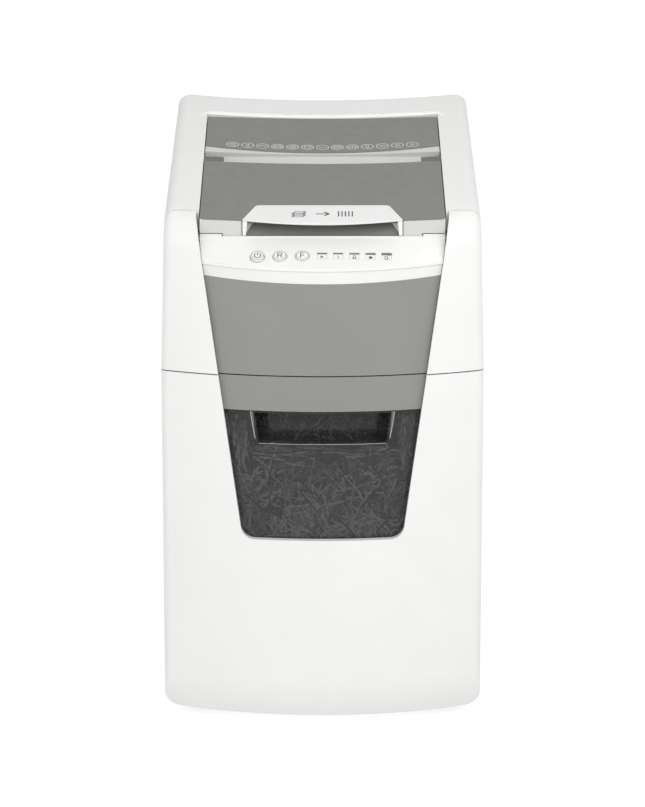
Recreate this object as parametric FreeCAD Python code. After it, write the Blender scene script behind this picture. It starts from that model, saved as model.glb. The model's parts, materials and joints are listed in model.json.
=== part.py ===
"""Auto-feed office paper shredder with a pull-out bin.

Millimetres, +Z up, origin on the floor under the middle of the case. The front faces -Y.
The case is a tall barrel with a bowed front. Its lower half is a cabinet that holds the bin drawer, and its
upper half is the head, with the lid, the feed tray, the cutters, the gears and the motor. The top slopes up
towards the back, and everything on that slope is drawn level in a "deck" frame and then tilted into place.
"""
import FreeCAD, Part
import math
import os

V = FreeCAD.Vector

# ---------------------------------------------------------------- driving dimensions
DEPTH = 401.0
FRONT_Y = -DEPTH / 2
REAR_Y = DEPTH / 2
CASE_BOTTOM = 10.0           # the case hangs this far above the floor, on its castors
CASE_CEILING = 720.0         # above everything; raw blocks are drawn up to here
HALF_WIDTH = 171.5           # up to the head seam
HALF_WIDTH_TOP = 164.5       # at the top's rear corners
CASE_TOP_Z = 640.0
BOTTOM_CORNER_R = 17.0
BOW_R = 380.0                # plan radius of the bowed front
BOW_AXIS_Y = FRONT_Y + BOW_R
FRONT_CORNER_R = 12.0
REAR_CORNER_R = 22.0
WALL = 3.0
SEAM = 0.6                   # half of the visible joint between two mouldings

# the sloping deck: the lid's front edge on the centre line is its datum
DECK_TILT = 13.95             # degrees
DECK_Y = -157.0
DECK_Z = 545.5
LID_SAG = 5.5                # how far the lid dips across the half span below
FRAME_SAG = 7.0
SAG_SPAN = 155.0
FRAME_RISE = 0.4             # the white frame stands this much above the lid on the centre line
NOSE_R = 36.0                # rounding from the front of the wings to the top
TUCK = 16.0                  # how far the front tucks in at the floor
TUCK_TOP_Z = 56.0

HEAD_SEAM_Z = 386.5          # the head starts above this joint and the bin ends below it
FRAME_SEAM_Y = -142.0        # the frame starts behind this joint on the wings
FRAME_GAP = 1.8              # its width, seen almost edge on
DRAWER_SEAM_Y = -140.0       # the drawer front wraps round to this joint on the sides
BACK_SEAM_Y = 184.0

# the tapered grey field between the white wings
FIELD_HALF = 110.0           # half its width at the head seam
FIELD_TAPER = 0.1405         # widening per mm of height
RECESS = 7.0                 # the grey field lies this far behind the white
JAMB_DEPTH = 10.0            # the white walls turn in this far along the field
FIELD_R = BOW_R - RECESS
WINDOW_BOTTOM_Z = 209.5
WINDOW_CORNER_R = 15.0
STRIP_BOTTOM_Z = 348.5
GRIP_HALF = 72.0             # finger pocket at the top of the window
GRIP_TAPER = 2.5             # it is this much wider at the top and narrower at the bottom, each side
GRIP_BOTTOM_Z = 312.0
GRIP_DEPTH = 34.0

# control shelf: a ruled face from a bowed crease up to a straight rear line
SHELF_REAR_Y = -157.5
SHELF_REAR_Z = 529.0
CREASE_R = 376.5
CREASE_Z = 502.0
CREASE_LIFT = 4.5            # the crease is this much higher at the sides
SHELF_FOOT_Z = 485.4
SHELF_FOOT_LIFT = 6.0
BUTTON_ROW = 0.415           # how far up the shelf the buttons sit
BUTTON_R = 7.3
BUTTON_XS = (-68.0, -44.6, -21.2)
INDICATOR_XS = (-0.4, 16.4, 33.4, 50.4, 67.2)
TAB_X = 106.0                # from here out the shelf stands up into notches in the lid's front
TAB_RISE = 3.4
TAB_DEPTH = 3.0
SHELF_LIP = 1.3              # between the tabs a lip hides the joint under the lid

# top frame and lid, in distances along the deck
FRAME_SKIRT = 14.0
RIM_DEPTH = 15.0
LID_HALF = 129.3
LID_GAP = 0.9
LID_FRONT_R = 4.0            # front corners of the lid, seen from above
LID_FRONT_Y = -157.0
LID_SKIN = 3.0
LID_EDGE = 0.9               # visible thickness of the lid's front edge
EDGE_STEP = 3.0
LID_DEPTH = 19.0
SLOT_FRONT_Y = 0.0
SLOT_GAP_Y = 6.0             # the slot itself runs from the lid's rear wall to here
SLOT_REAR_Y = 32.0           # the cover's front edge on the centre line
SLOT_BOW_R = 729.0           # and its bow
SLOT_SIDE_Y = 44.0           # where that edge meets the lid's sides
SLOT_BLOCK_Y = 15.0
SLOT_HALF = 112.0
HINGE_Y = 127.0
HINGE_H = -1.2
HINGE_R = 5.0
PIN_R = 2.5
RUNNING_FIT = 0.06           # radial clearance of a turning fit
BEZEL_DEPTH = 14.0
BEZEL_FOOT_Z = SHELF_REAR_Z + 1.0
LEVER_FRONT_HALF = 84.0
LEVER_REAR_HALF = 70.0
RECESS_HALF = LEVER_FRONT_HALF + 1.6
LEVER_REAR_Y = -119.8
LEVER_BULGE = 8.2            # its front edge bows out this much with the case
LEVER_ARM = 4.0
LEVER_LIP = 3.7              # the lever's front stands this much above the lid

# rear panel
LOUVRES = 9
LOUVRE_Z = 430.0
LOUVRE_PITCH = 9.0
INLET_X = 110.0
INLET_Z = 105.0
SWITCH_X = 70.0
SWITCH_TILT = 6.0            # the rocker rests tilted to its off side
SCREW_SPOTS = [(x, z) for x in (-135.0, 135.0) for z in (60.0, 220.0, 360.0, 470.0)]

# castors
CASTOR_SPOTS = [(x, y) for y in (-95.0, 145.0) for x in (-114.0, 114.0)]
CASTOR_WHEEL_R = 16.5
CASTOR_TRAIL = 7.0
CUP_R = 29.0
CUP_TOP = 46.0
STEM_R = 4.0
STEM_BOSS = 10.0

# bin
TUB_HALF = 146.0
TUB_FRONT_OFFSET = 10.5      # its bowed front lies this far behind the white front
TUB_CORNER_R = 14.0
TUB_REAR_Y = 172.0
TUB_BOTTOM_Z = 60.0
TUB_TOP_Z = 336.0
TUB_WALL = 2.5
RUNNER_Z = 262.0
RUNNER_FRONT_Y = -120.0

# cutting block
HEAD_FLOOR_Z = 390.0
CHUTE_HALF = 112.0
PLATE_X = 116.0
PLATE_T = 4.0
SHAFT_Z = 446.0
FRONT_SHAFT_Y = -17.0
REAR_SHAFT_Y = 17.0
CORE_R = 11.0
DISC_R = 20.5
DISC_PITCH = 8.0
DISC_T = 3.2
CUTTER_HALF = 108.0
SHAFT_R = 6.0
GEAR_MODULE = 2.0
GEAR_X = 124.0
GEAR_WIDTH = 8.0
MOTOR_Y = 112.0
MOTOR_Z = 452.0
MOTOR_R = 36.0
BEARING_R = 9.0
TIE_R = 4.0
TIE_SPOTS = [(-54.0, 410.0), (-54.0, 488.0), (56.0, 410.0), (56.0, 488.0)]
TIMING_TEETH = 17
PINION_TEETH = 12
IDLER_TEETH = 48
DRIVE_TEETH = 30

# feed tray and pick-up rollers, in distances along the deck
TRAY_DEPTH = 42.0
TRAY_REAR_Y = 118.0
FEED_ROLLER_Y = -50.0
FEED_ROLLER_R = 14.0
FEED_ROLLER_H = -TRAY_DEPTH + 2.5 + 1.5 - FEED_ROLLER_R
FEED_ROLLER_XS = (-45.0, 45.0)


# ---------------------------------------------------------------- small helpers
def box(x0, x1, y0, y1, z0, z1):
    return Part.makeBox(x1 - x0, y1 - y0, z1 - z0, V(x0, y0, z0))


def rod_x(x0, x1, y, z, r):
    return Part.makeCylinder(r, x1 - x0, V(x0, y, z), V(1, 0, 0))


def rod_y(y0, y1, x, z, r):
    return Part.makeCylinder(r, y1 - y0, V(x, y0, z), V(0, 1, 0))


def rod_z(z0, z1, x, y, r):
    return Part.makeCylinder(r, z1 - z0, V(x, y, z0), V(0, 0, 1))


def outline(corners, place):
    """A closed wire round corners given as (a, b, radius), mapped into space by place(a, b)."""
    count = len(corners)
    bends = []
    for i, (a, b, radius) in enumerate(corners):
        here = V(a, b, 0)
        before = V(*corners[i - 1][:2], 0).sub(here).normalize()
        after = V(*corners[(i + 1) % count][:2], 0).sub(here).normalize()
        if radius <= 0:
            bends.append((here, None, here))
            continue
        half = before.getAngle(after) / 2
        reach = radius / math.tan(half)
        middle = here + (before + after).normalize() * (radius / math.sin(half) - radius)
        bends.append((here + before * reach, middle, here + after * reach))
    edges = []
    for i, (start, middle, end) in enumerate(bends):
        if middle is not None:
            edges.append(Part.Arc(place(*start[:2]), place(*middle[:2]), place(*end[:2])).toShape())
        following = bends[(i + 1) % count][0]
        if end.distanceToPoint(following) > 1e-6:
            edges.append(Part.LineSegment(place(*end[:2]), place(*following[:2])).toShape())
    return Part.Wire(edges)


def slab_xy(corners, z0, z1):
    return Part.Face(outline(corners, lambda a, b: V(a, b, z0))).extrude(V(0, 0, z1 - z0))


def slab_xz(corners, y0, y1):
    return Part.Face(outline(corners, lambda a, b: V(a, y0, b))).extrude(V(0, y1 - y0, 0))


def slab_yz(corners, x0, x1):
    return Part.Face(outline(corners, lambda a, b: V(x0, a, b))).extrude(V(x1 - x0, 0, 0))


def mirrored(shape):
    return shape.mirror(V(0, 0, 0), V(1, 0, 0))


def united(shapes):
    first, *rest = shapes
    return first.fuse(rest).removeSplitter() if rest else first


def filleted(shape, edges, radius):
    """The shape with those edges rounded, by the largest radius up to the one asked that works."""
    for share in (1.0, 0.8, 0.6, 0.4):
        try:
            result = shape.makeFillet(radius * share, edges)
            if result.isValid() and result.Volume > 0.5 * shape.Volume:
                return result
        except Part.OCCError:
            continue
    print("fillet left out:", radius, len(edges), "edges")
    return shape


# ---------------------------------------------------------------- the case's outer form
def deck(shape):
    """Tilts a shape drawn level at the lid's height into place on the sloping top."""
    tilted = shape.copy()
    tilted.rotate(V(0, DECK_Y, DECK_Z), V(1, 0, 0), DECK_TILT)
    return tilted


def saddle(sag, height):
    """A level cylinder whose underside is the dished top surface, at that height on the centre line."""
    radius = SAG_SPAN ** 2 / (2 * sag)
    return rod_y(-400, 400, 0, DECK_Z + height + radius, radius)


def plan_slab(inset, half, z0, z1):
    """The case's plan as an upright slab: bowed front, rounded corners, moved inwards by inset."""
    radius = BOW_R - inset
    corner = max(FRONT_CORNER_R - inset, 2)
    heel = max(REAR_CORNER_R - inset, 2)
    side = half - inset
    rear = REAR_Y - inset
    cx = side - corner
    cy = BOW_AXIS_Y - math.sqrt((radius - corner) ** 2 - cx ** 2)
    reach = radius / (radius - corner)
    touch = V(cx * reach, BOW_AXIS_Y + (cy - BOW_AXIS_Y) * reach, z0)
    turn = math.atan2(BOW_AXIS_Y - cy, cx) / 2
    knuckle = V(cx + corner * math.cos(turn), cy - corner * math.sin(turn), z0)
    skew = heel * (1 - math.sqrt(0.5))

    def flip(p):
        return V(-p.x, p.y, p.z)

    def at(x, y):
        return V(x, y, z0)

    edges = [
        Part.Arc(flip(touch), at(0, BOW_AXIS_Y - radius), touch),
        Part.Arc(touch, knuckle, at(side, cy)),
        Part.LineSegment(at(side, cy), at(side, rear - heel)),
        Part.Arc(at(side, rear - heel), at(side - skew, rear - skew), at(side - heel, rear)),
        Part.LineSegment(at(side - heel, rear), at(heel - side, rear)),
        Part.Arc(at(heel - side, rear), at(skew - side, rear - skew), at(-side, rear - heel)),
        Part.LineSegment(at(-side, rear - heel), at(-side, cy)),
        Part.Arc(at(-side, cy), flip(knuckle), flip(touch)),
    ]
    return Part.Face(Part.Wire([e.toShape() for e in edges])).extrude(V(0, 0, z1 - z0))


def tuck_form(inset):
    """A form turned about the bow's axis that tucks the front in at the floor."""
    radius = BOW_R - inset
    bottom = CASE_BOTTOM + inset

    def at(r, z):
        return V(r, BOW_AXIS_Y, z)

    edges = [
        Part.LineSegment(at(0, bottom), at(radius - TUCK, bottom)),
        Part.Arc(at(radius - TUCK, bottom), at(radius - TUCK * 0.3, 29), at(radius, TUCK_TOP_Z)),
        Part.LineSegment(at(radius, TUCK_TOP_Z), at(radius, CASE_CEILING)),
        Part.LineSegment(at(radius, CASE_CEILING), at(0, CASE_CEILING)),
        Part.LineSegment(at(0, CASE_CEILING), at(0, bottom)),
    ]
    face = Part.Face(Part.Wire([e.toShape() for e in edges]))
    return face.revolve(V(0, BOW_AXIS_Y, 0), V(0, 0, 1), 360)


def cabinet_form(inset):
    """The lower half: upright sides, rounded bottom corners and a tucked-in front."""
    half = HALF_WIDTH - inset
    corner = max(BOTTOM_CORNER_R - inset, 2)
    front_view = [(-half, CASE_BOTTOM + inset, corner), (half, CASE_BOTTOM + inset, corner),
                  (half, HEAD_SEAM_Z, 0), (-half, HEAD_SEAM_Z, 0)]
    slab = plan_slab(inset, HALF_WIDTH, -20, HEAD_SEAM_Z).common(slab_xz(front_view, -300, 300))
    return slab.common(tuck_form(inset))


def raw_head(inset):
    """The upper half before its edges are rounded: the sides lean in towards the dished top."""
    radius = BOW_R - inset
    side = HALF_WIDTH - inset
    rear = REAR_Y - inset
    lean = (HALF_WIDTH - HALF_WIDTH_TOP) * (CASE_CEILING - HEAD_SEAM_Z) / (CASE_TOP_Z - HEAD_SEAM_Z)
    corner_y = BOW_AXIS_Y - math.sqrt(radius ** 2 - side ** 2)
    corners = ((-side, corner_y), (side, corner_y), (side, rear), (-side, rear))
    points = [V(x, y, HEAD_SEAM_Z) for x, y in corners]
    front = Part.Arc(points[0], V(0, BOW_AXIS_Y - radius, HEAD_SEAM_Z), points[1]).toShape()
    rest = [Part.LineSegment(points[i], points[(i + 1) % 4]).toShape() for i in (1, 2, 3)]
    solid = Part.Face(Part.Wire([front] + rest)).extrude(V(0, 0, CASE_CEILING - HEAD_SEAM_Z))
    front_view = [(-side, HEAD_SEAM_Z, 0), (side, HEAD_SEAM_Z, 0),
                  (side - lean, CASE_CEILING, 0), (lean - side, CASE_CEILING, 0)]
    return solid.common(slab_xz(front_view, -300, 300)).cut(deck(saddle(FRAME_SAG, FRAME_RISE - inset)))


def head_form(inset):
    """The upper half: the nose is rolled first, then the edges that run into it."""
    solid = raw_head(inset)
    nose = [e for e in solid.Edges
            if e.BoundBox.XLength > 250 and e.BoundBox.YMax < -120 and e.BoundBox.ZMin > 500]
    solid = filleted(solid, nose, NOSE_R - inset)
    corners = [e for e in solid.Edges
               if abs(e.CenterOfMass.x) > 140 and e.BoundBox.YMax < -100 and e.BoundBox.ZLength > 20]
    solid = filleted(solid, corners, max(FRONT_CORNER_R - inset, 2))
    rear = REAR_Y - inset - 1
    heels = [e for e in solid.Edges
             if e.CenterOfMass.y > rear and abs(e.CenterOfMass.x) > 100 and e.BoundBox.ZLength > 100]
    return filleted(solid, heels, max(REAR_CORNER_R - inset, 2))


def largest(shape):
    return max(shape.Solids, key=lambda solid: solid.Volume)


def along_deck(shape):
    """Drawn with y along the slope and z as height above the lid; tilted into place."""
    lifted = shape.copy()
    lifted.translate(V(0, 0, DECK_Z))
    return deck(lifted)


# ---------------------------------------------------------------- regions shared by the casings
def field_half(z):
    return FIELD_HALF + (z - HEAD_SEAM_Z) * FIELD_TAPER


def field_region(margin, z0, z1, corner=0):
    """The tapered field between the white wings, from the front to just behind the fascia."""
    low = field_half(z0) + margin
    high = field_half(z1) + margin
    return slab_xz([(-low, z0, corner), (low, z0, corner), (high, z1, 0), (-high, z1, 0)], -260, -120)


def front_ring(inner, outer, z0, z1):
    """A wall that follows the bow at this distance behind the white front."""
    ring = rod_z(z0, z1, 0, BOW_AXIS_Y, BOW_R - inner)
    return ring.cut(rod_z(z0 - 1, z1 + 1, 0, BOW_AXIS_Y, BOW_R - outer))


def frame_region():
    """What belongs to the top frame: the deck's upper skin behind the wings."""
    raised = along_deck(box(-200, 200, -400, 400, -FRAME_SKIRT, 200))
    return raised.common(box(-200, 200, FRAME_SEAM_Y, 260, 300, 900))


def lid_well():
    """The opening that the lid fills."""
    half = LID_HALF + LID_GAP
    return along_deck(box(-half, half, LID_FRONT_Y - 18, HINGE_Y + HINGE_R + LID_GAP, -RIM_DEPTH - 2, 200))


# ---------------------------------------------------------------- cabinet and head casings
def left_side_panel():
    """The white side of the cabinet, with its rounded lower edge."""
    side = box(-200, -150, DRAWER_SEAM_Y + SEAM, BACK_SEAM_Y - SEAM, 0, HEAD_SEAM_Z - SEAM)
    return CABINET_SKIN.common(side)


def right_side_panel():
    return mirrored(left_side_panel())


def screw_holes(panel):
    """The panel with a sunk hole for each screw."""
    for x, z in SCREW_SPOTS:
        panel = panel.cut(rod_y(REAR_Y - 1.6, REAR_Y + 5, x, z, 4.2).fuse(rod_y(150, REAR_Y, x, z, 1.7)))
    return panel


def back_panel():
    """The cabinet's rear wall, with the openings for the mains inlet and the switch."""
    panel = CABINET_SKIN.common(box(-200, 200, BACK_SEAM_Y, 260, 0, HEAD_SEAM_Z - SEAM))
    panel = panel.cut([box(INLET_X - 14.5, INLET_X + 14.5, 150, 260, INLET_Z - 11, INLET_Z + 11),
                       box(SWITCH_X - 7.6, SWITCH_X + 7.6, 150, 260, INLET_Z - 10.6, INLET_Z + 10.6)])
    return screw_holes(panel)


def head_back():
    """The head's rear wall, with louvres for the motor."""
    panel = HEAD_SKIN.common(box(-200, 200, BACK_SEAM_Y, 260, HEAD_SEAM_Z + SEAM, 900))
    panel = panel.cut(along_deck(box(-200, 200, 0, 400, -FRAME_SKIRT - SEAM, 100)))
    slots = []
    for x in (-62, 62):
        for row in range(LOUVRES):
            z = LOUVRE_Z + row * LOUVRE_PITCH
            corners = [(x - 42, z, 1.9), (x + 42, z, 1.9), (x + 42, z + 4, 1.9), (x - 42, z + 4, 1.9)]
            slots.append(slab_xz(corners, 150, 260))
    return screw_holes(panel.cut(slots))


def base_plate():
    """The floor of the cabinet, with a cup moulded over each castor."""
    plate = box(-150 + SEAM, 150 - SEAM, DRAWER_SEAM_Y + SEAM, BACK_SEAM_Y - SEAM,
                CASE_BOTTOM, CASE_BOTTOM + WALL)
    cups = []
    hollows = []
    for x, y in CASTOR_SPOTS:
        cups.append(rod_z(CASE_BOTTOM, CUP_TOP, x, y, CUP_R + WALL))
        cups.append(rod_z(CUP_TOP, CUP_TOP + STEM_BOSS, x, y, 9))
        hollows.append(rod_z(0, CUP_TOP - WALL, x, y, CUP_R))
        hollows.append(rod_z(0, CUP_TOP + STEM_BOSS - 2, x, y, STEM_R + RUNNING_FIT))
    ribs = [box(x - 1.5, x + 1.5, DRAWER_SEAM_Y + 8, BACK_SEAM_Y - 8, CASE_BOTTOM + WALL, 26)
            for x in (-60, 0, 60)]
    return united([plate] + cups + ribs).cut(hollows)


def left_head_cover():
    """The white wing beside the grey field, running back along the side of the head."""
    wall = HEAD_SKIN.common(box(-200, 0, -260, BACK_SEAM_Y - SEAM, HEAD_SEAM_Z + SEAM, 900))
    wall = wall.cut(field_region(0, 150, 640)).cut(frame_region()).cut(lid_well())
    # a seam's width below the frame, behind the wing
    below = along_deck(box(-200, 200, -400, 400, -FRAME_SKIRT - SEAM, 200))
    wall = wall.cut(below.common(box(-200, 200, FRAME_SEAM_Y - FRAME_GAP, 260, 300, 900)))
    jamb = field_jamb(HEAD_SEAM_Z + SEAM, 640).common(HEAD_RIM)
    jamb = jamb.common(box(-200, 0, -260, FRAME_SEAM_Y - FRAME_GAP, 0, 900))
    jamb = jamb.cut(lid_well())
    return largest(united([wall, jamb]))


def right_head_cover():
    return mirrored(left_head_cover())


def field_jamb(z0, z1, corner=0):
    """The wall that turns in from the white front along the edge of the grey field."""
    rim = field_region(WALL, z0 - (WALL if corner else 0), z1, corner + WALL if corner else 0)
    return rim.cut(field_region(0, z0, z1 + 1, corner))


def top_frame():
    """The white band round the lid, with a short skirt and a rim down inside the opening."""
    band = HEAD_SKIN.common(frame_region()).cut(lid_well())
    rim = HEAD.common(along_deck(box(-LID_HALF - LID_GAP - WALL, LID_HALF + LID_GAP + WALL, -300,
                                     HINGE_Y + HINGE_R + LID_GAP + WALL, -RIM_DEPTH, 60)))
    rim = rim.cut(lid_well()).common(box(-200, 200, FRAME_SEAM_Y, 260, 300, 900))
    ears = []
    for side in (-1, 1):
        outer = side * (LID_HALF + LID_GAP + 1)
        inner = side * (LID_HALF - 7)
        ears.append(rod_x(min(outer, inner), max(outer, inner), HINGE_Y, HINGE_H, PIN_R))
    return united([band, rim] + [along_deck(e) for e in ears])


def front_fascia():
    """The grey panel between the wings, under the control shelf."""
    wall = front_ring(RECESS, RECESS + WALL, HEAD_SEAM_Z + SEAM, 495)
    wall = wall.common(field_region(-0.4, HEAD_SEAM_Z + SEAM, 495))
    return largest(wall.cut(shelf_block()))


# ---------------------------------------------------------------- control shelf and its buttons
def shelf_edges():
    """The rear line, the crease and the lower edge of the control shelf, as edges."""
    rear_half = field_half(SHELF_REAR_Z) - 0.4
    rear = Part.LineSegment(V(-rear_half, SHELF_REAR_Y, SHELF_REAR_Z),
                            V(rear_half, SHELF_REAR_Y, SHELF_REAR_Z))

    def bowed(radius, z_middle, z_side):
        half = field_half(z_side) - 0.4
        y_side = BOW_AXIS_Y - math.sqrt(radius ** 2 - half ** 2)
        middle = V(0, BOW_AXIS_Y - radius, z_middle)
        return Part.Arc(V(-half, y_side, z_side), middle, V(half, y_side, z_side))

    crease = bowed(CREASE_R, CREASE_Z, CREASE_Z + CREASE_LIFT)
    lower = bowed(FIELD_R, SHELF_FOOT_Z, SHELF_FOOT_Z + SHELF_FOOT_LIFT)
    return rear.toShape(), crease.toShape(), lower.toShape()


def shelf_block():
    """Everything in front of and behind the shelf's face, for trimming the fascia."""
    rear, crease, lower = shelf_edges()
    face = Part.makeRuledSurface(lower, crease)
    return face.extrude(V(0, 40, 0))


def shelf_slope():
    return math.atan2(SHELF_REAR_Z - CREASE_Z, SHELF_REAR_Y - (BOW_AXIS_Y - CREASE_R))


def on_shelf(shape):
    """Drawn about the origin with +Z out of the shelf; tilted and moved to the row of buttons."""
    placed = shape.copy()
    placed.rotate(V(0, 0, 0), V(1, 0, 0), math.degrees(shelf_slope()))
    front_y = BOW_AXIS_Y - CREASE_R
    placed.translate(V(0, front_y + BUTTON_ROW * (SHELF_REAR_Y - front_y),
                       CREASE_Z + BUTTON_ROW * (SHELF_REAR_Z - CREASE_Z)))
    return placed


def control_panel():
    """The white shelf that carries the buttons and the indicators."""
    rear, crease, lower = shelf_edges()
    top = Part.makeRuledSurface(crease, rear).extrude(V(0, 0, -WALL))
    skirt = Part.makeRuledSurface(lower, crease).extrude(V(0, WALL, 0))
    holes = [on_shelf(rod_z(-20, 20, x, 0, BUTTON_R + 0.5)) for x in BUTTON_XS]
    holes += [on_shelf(box(x - 5.3, x + 5.3, 2.4, 4.9, -20, 20)) for x in INDICATOR_XS]
    sill = box(-field_half(SHELF_REAR_Z) + 3, field_half(SHELF_REAR_Z) - 3, SHELF_REAR_Y - 4, SHELF_REAR_Y,
               SHELF_REAR_Z - 12, SHELF_REAR_Z - 4)
    shell = united([top, skirt]).cut(holes)
    foot = SHELF_REAR_Z - WALL
    tab = box(TAB_X, LID_HALF, SHELF_REAR_Y - 0.2, LID_FRONT_Y + TAB_DEPTH, foot, SHELF_REAR_Z + TAB_RISE)
    lip = box(-TAB_X, TAB_X, SHELF_REAR_Y - 0.9, SHELF_REAR_Y + 0.1, foot, SHELF_REAR_Z + SHELF_LIP)
    return united([shell, sill, lip, tab, mirrored(tab)])


def button(x):
    cap = rod_z(-5.0, 0.9, x, 0, BUTTON_R)
    cap = cap.makeFillet(0.6, [e for e in cap.Edges if e.CenterOfMass.z > 0.5 and e.Length > 30])
    stem = rod_z(-9.0, -5.0, x, 0, 2.0)
    return on_shelf(united([cap, stem]))


def power_button():
    return button(BUTTON_XS[0])


def reverse_button():
    return button(BUTTON_XS[1])


def forward_button():
    return button(BUTTON_XS[2])


def indicator_lenses():
    """Light pipes from the board up to the slits in the shelf."""
    pipes = [on_shelf(box(x - 5.0, x + 5.0, 2.6, 4.7, -11.6, -0.15)) for x in INDICATOR_XS]
    return Part.makeCompound(pipes)


def circuit_boards():
    """The board behind the shelf, with a switch under each button, and the power board by the left side."""
    board = box(-80, 80, -9, 12, -13.2, -11.6)
    switches = [box(x - 3, x + 3, -3, 3, -11.6, -9.9) for x in BUTTON_XS]
    return Part.makeCompound([on_shelf(united([board] + switches)), power_board()])


# ---------------------------------------------------------------- lid, slot cover and lever
def lid_plate(y0, y1, half):
    """A plate of the lid whose upper face carries the dish of the top."""
    return along_deck(box(-half, half, y0, y1, -LID_SKIN, 20)).cut(deck(saddle(LID_SAG, 0)))


def skirt_walls(y0, y1, half, depth):
    """Side walls under a plate of the lid."""
    walls = []
    for side in (-1, 1):
        outer = side * half
        inner = side * (half - 2.5)
        walls.append(along_deck(box(min(outer, inner), max(outer, inner), y0, y1, -depth, -LID_SKIN)))
    return walls


def lid_cover():
    """The grey front part of the lid; its front edge is thinned so the bezel reaches up behind it."""
    plate = lid_plate(LID_FRONT_Y, SLOT_FRONT_Y, LID_HALF)
    step = along_deck(box(-200, 200, LID_FRONT_Y - 2, LID_FRONT_Y + EDGE_STEP, -LID_SKIN - 1, 20))
    plate = plate.cut(step.cut(deck(saddle(LID_SAG, -LID_EDGE))))
    corners = along_deck(slab_xy([(-LID_HALF, LID_FRONT_Y, LID_FRONT_R), (LID_HALF, LID_FRONT_Y, LID_FRONT_R),
                                  (LID_HALF, SLOT_FRONT_Y, 0), (-LID_HALF, SLOT_FRONT_Y, 0)], -30, 20))
    rear_wall = box(-LID_HALF, LID_HALF, SLOT_FRONT_Y - 2.5, SLOT_FRONT_Y, -LID_DEPTH, -LID_SKIN)
    walls = skirt_walls(LID_FRONT_Y + BEZEL_DEPTH + 6, SLOT_FRONT_Y, LID_HALF, LID_DEPTH)
    return united([plate.common(corners), along_deck(rear_wall), recess_panel()] + walls)


def slot_bow(margin):
    """Everything behind the bowed front edge of the slot's cover, grown by the margin."""
    return along_deck(rod_z(-60, 60, 0, SLOT_REAR_Y + SLOT_BOW_R, SLOT_BOW_R + margin))


def slot_cover():
    """The grey rear part of the lid, with the rolled edge that turns on the hinge."""
    plate = lid_plate(SLOT_REAR_Y - 1, HINGE_Y, LID_HALF).common(slot_bow(0))
    roll = along_deck(rod_x(-LID_HALF, LID_HALF, HINGE_Y, HINGE_H, HINGE_R)).cut(deck(saddle(LID_SAG, 0)))
    walls = skirt_walls(SLOT_SIDE_Y + 3, HINGE_Y, LID_HALF, LID_DEPTH)
    bores = [rod_x(x0, x1, HINGE_Y, HINGE_H, PIN_R + RUNNING_FIT) for x0, x1 in ((-200, -118), (118, 200))]
    return united([plate, roll] + walls).cut([along_deck(bore) for bore in bores])


def throat_profile(margin):
    """The pale chute seen from the side, grown by the margin where the end blocks fit over it."""
    rear = SLOT_SIDE_Y + 2 + margin
    gap = SLOT_GAP_Y - margin
    lip = SLOT_REAR_Y - 3.5 - margin
    return [(rear, 8, 0), (rear, -LID_DEPTH - margin, 0), (gap, -LID_DEPTH - margin, 0),
            (gap, -LID_DEPTH + 3 + margin, 0), (lip, -3.2 + margin, 0), (lip, 8, 0)]


def slot_throat():
    """The pale chute of the single-sheet slot, reaching up just below the cover's bowed edge."""
    hollow = slab_yz([(SLOT_GAP_Y + 5, -LID_DEPTH - 1, 0), (SLOT_SIDE_Y - 1, -LID_DEPTH - 1, 0),
                      (SLOT_SIDE_Y - 1, -6.2, 0), (SLOT_REAR_Y - 3, -6.2, 0)], -LID_HALF + 2, LID_HALF - 2)
    ramp = slab_yz(throat_profile(0), -LID_HALF, LID_HALF).cut(hollow)
    ramp = along_deck(ramp).cut(deck(saddle(LID_SAG, -0.7)))
    above = along_deck(box(-200, 200, 0, 100, -LID_SKIN - 0.1, 60))
    return ramp.cut(above.common(slot_bow(0.1)))


def slot_ends():
    """The dark blocks that close the two ends of the single-sheet slot."""
    block = slab_xz([(SLOT_HALF, -LID_DEPTH, 0), (LID_HALF, -LID_DEPTH, 0), (LID_HALF, 8, 0),
                     (SLOT_HALF - 5, 8, 0)], SLOT_FRONT_Y + 0.2, SLOT_BLOCK_Y)
    block = along_deck(block.cut(slab_yz(throat_profile(0.3), -200, 200))).cut(deck(saddle(LID_SAG, -0.8)))
    return Part.makeCompound([block, mirrored(block)])


def bezel_band():
    """The upright band under the lid's front edge, before the finger recess is taken out."""
    band = box(-LID_HALF, LID_HALF, LID_FRONT_Y, LID_FRONT_Y + BEZEL_DEPTH, BEZEL_FOOT_Z, DECK_Z + 30)
    band = band.cut(along_deck(box(-200, 200, LID_FRONT_Y + EDGE_STEP, 100, -LID_SKIN, 80)))
    return band.cut(deck(saddle(LID_SAG, -LID_EDGE)))


def finger_recess():
    """The hollow behind the lever: its back leans in towards the top and its ends splay."""
    front = LID_FRONT_Y
    profile = slab_yz([(front - 5, BEZEL_FOOT_Z + 0.8, 0), (front + 2.5, BEZEL_FOOT_Z + 0.8, 0),
                       (front + 11.5, BEZEL_FOOT_Z + 13, 0), (front + 11.5, BEZEL_FOOT_Z + 40, 0),
                       (front - 5, BEZEL_FOOT_Z + 40, 0)], -RECESS_HALF, RECESS_HALF)
    return profile.common(slab_xy([(-RECESS_HALF, front - 5, 0), (RECESS_HALF, front - 5, 0),
                                   (RECESS_HALF, front, 0), (RECESS_HALF - 14, front + 12, 0),
                                   (14 - RECESS_HALF, front + 12, 0), (-RECESS_HALF, front, 0)], 400, 700))


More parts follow.
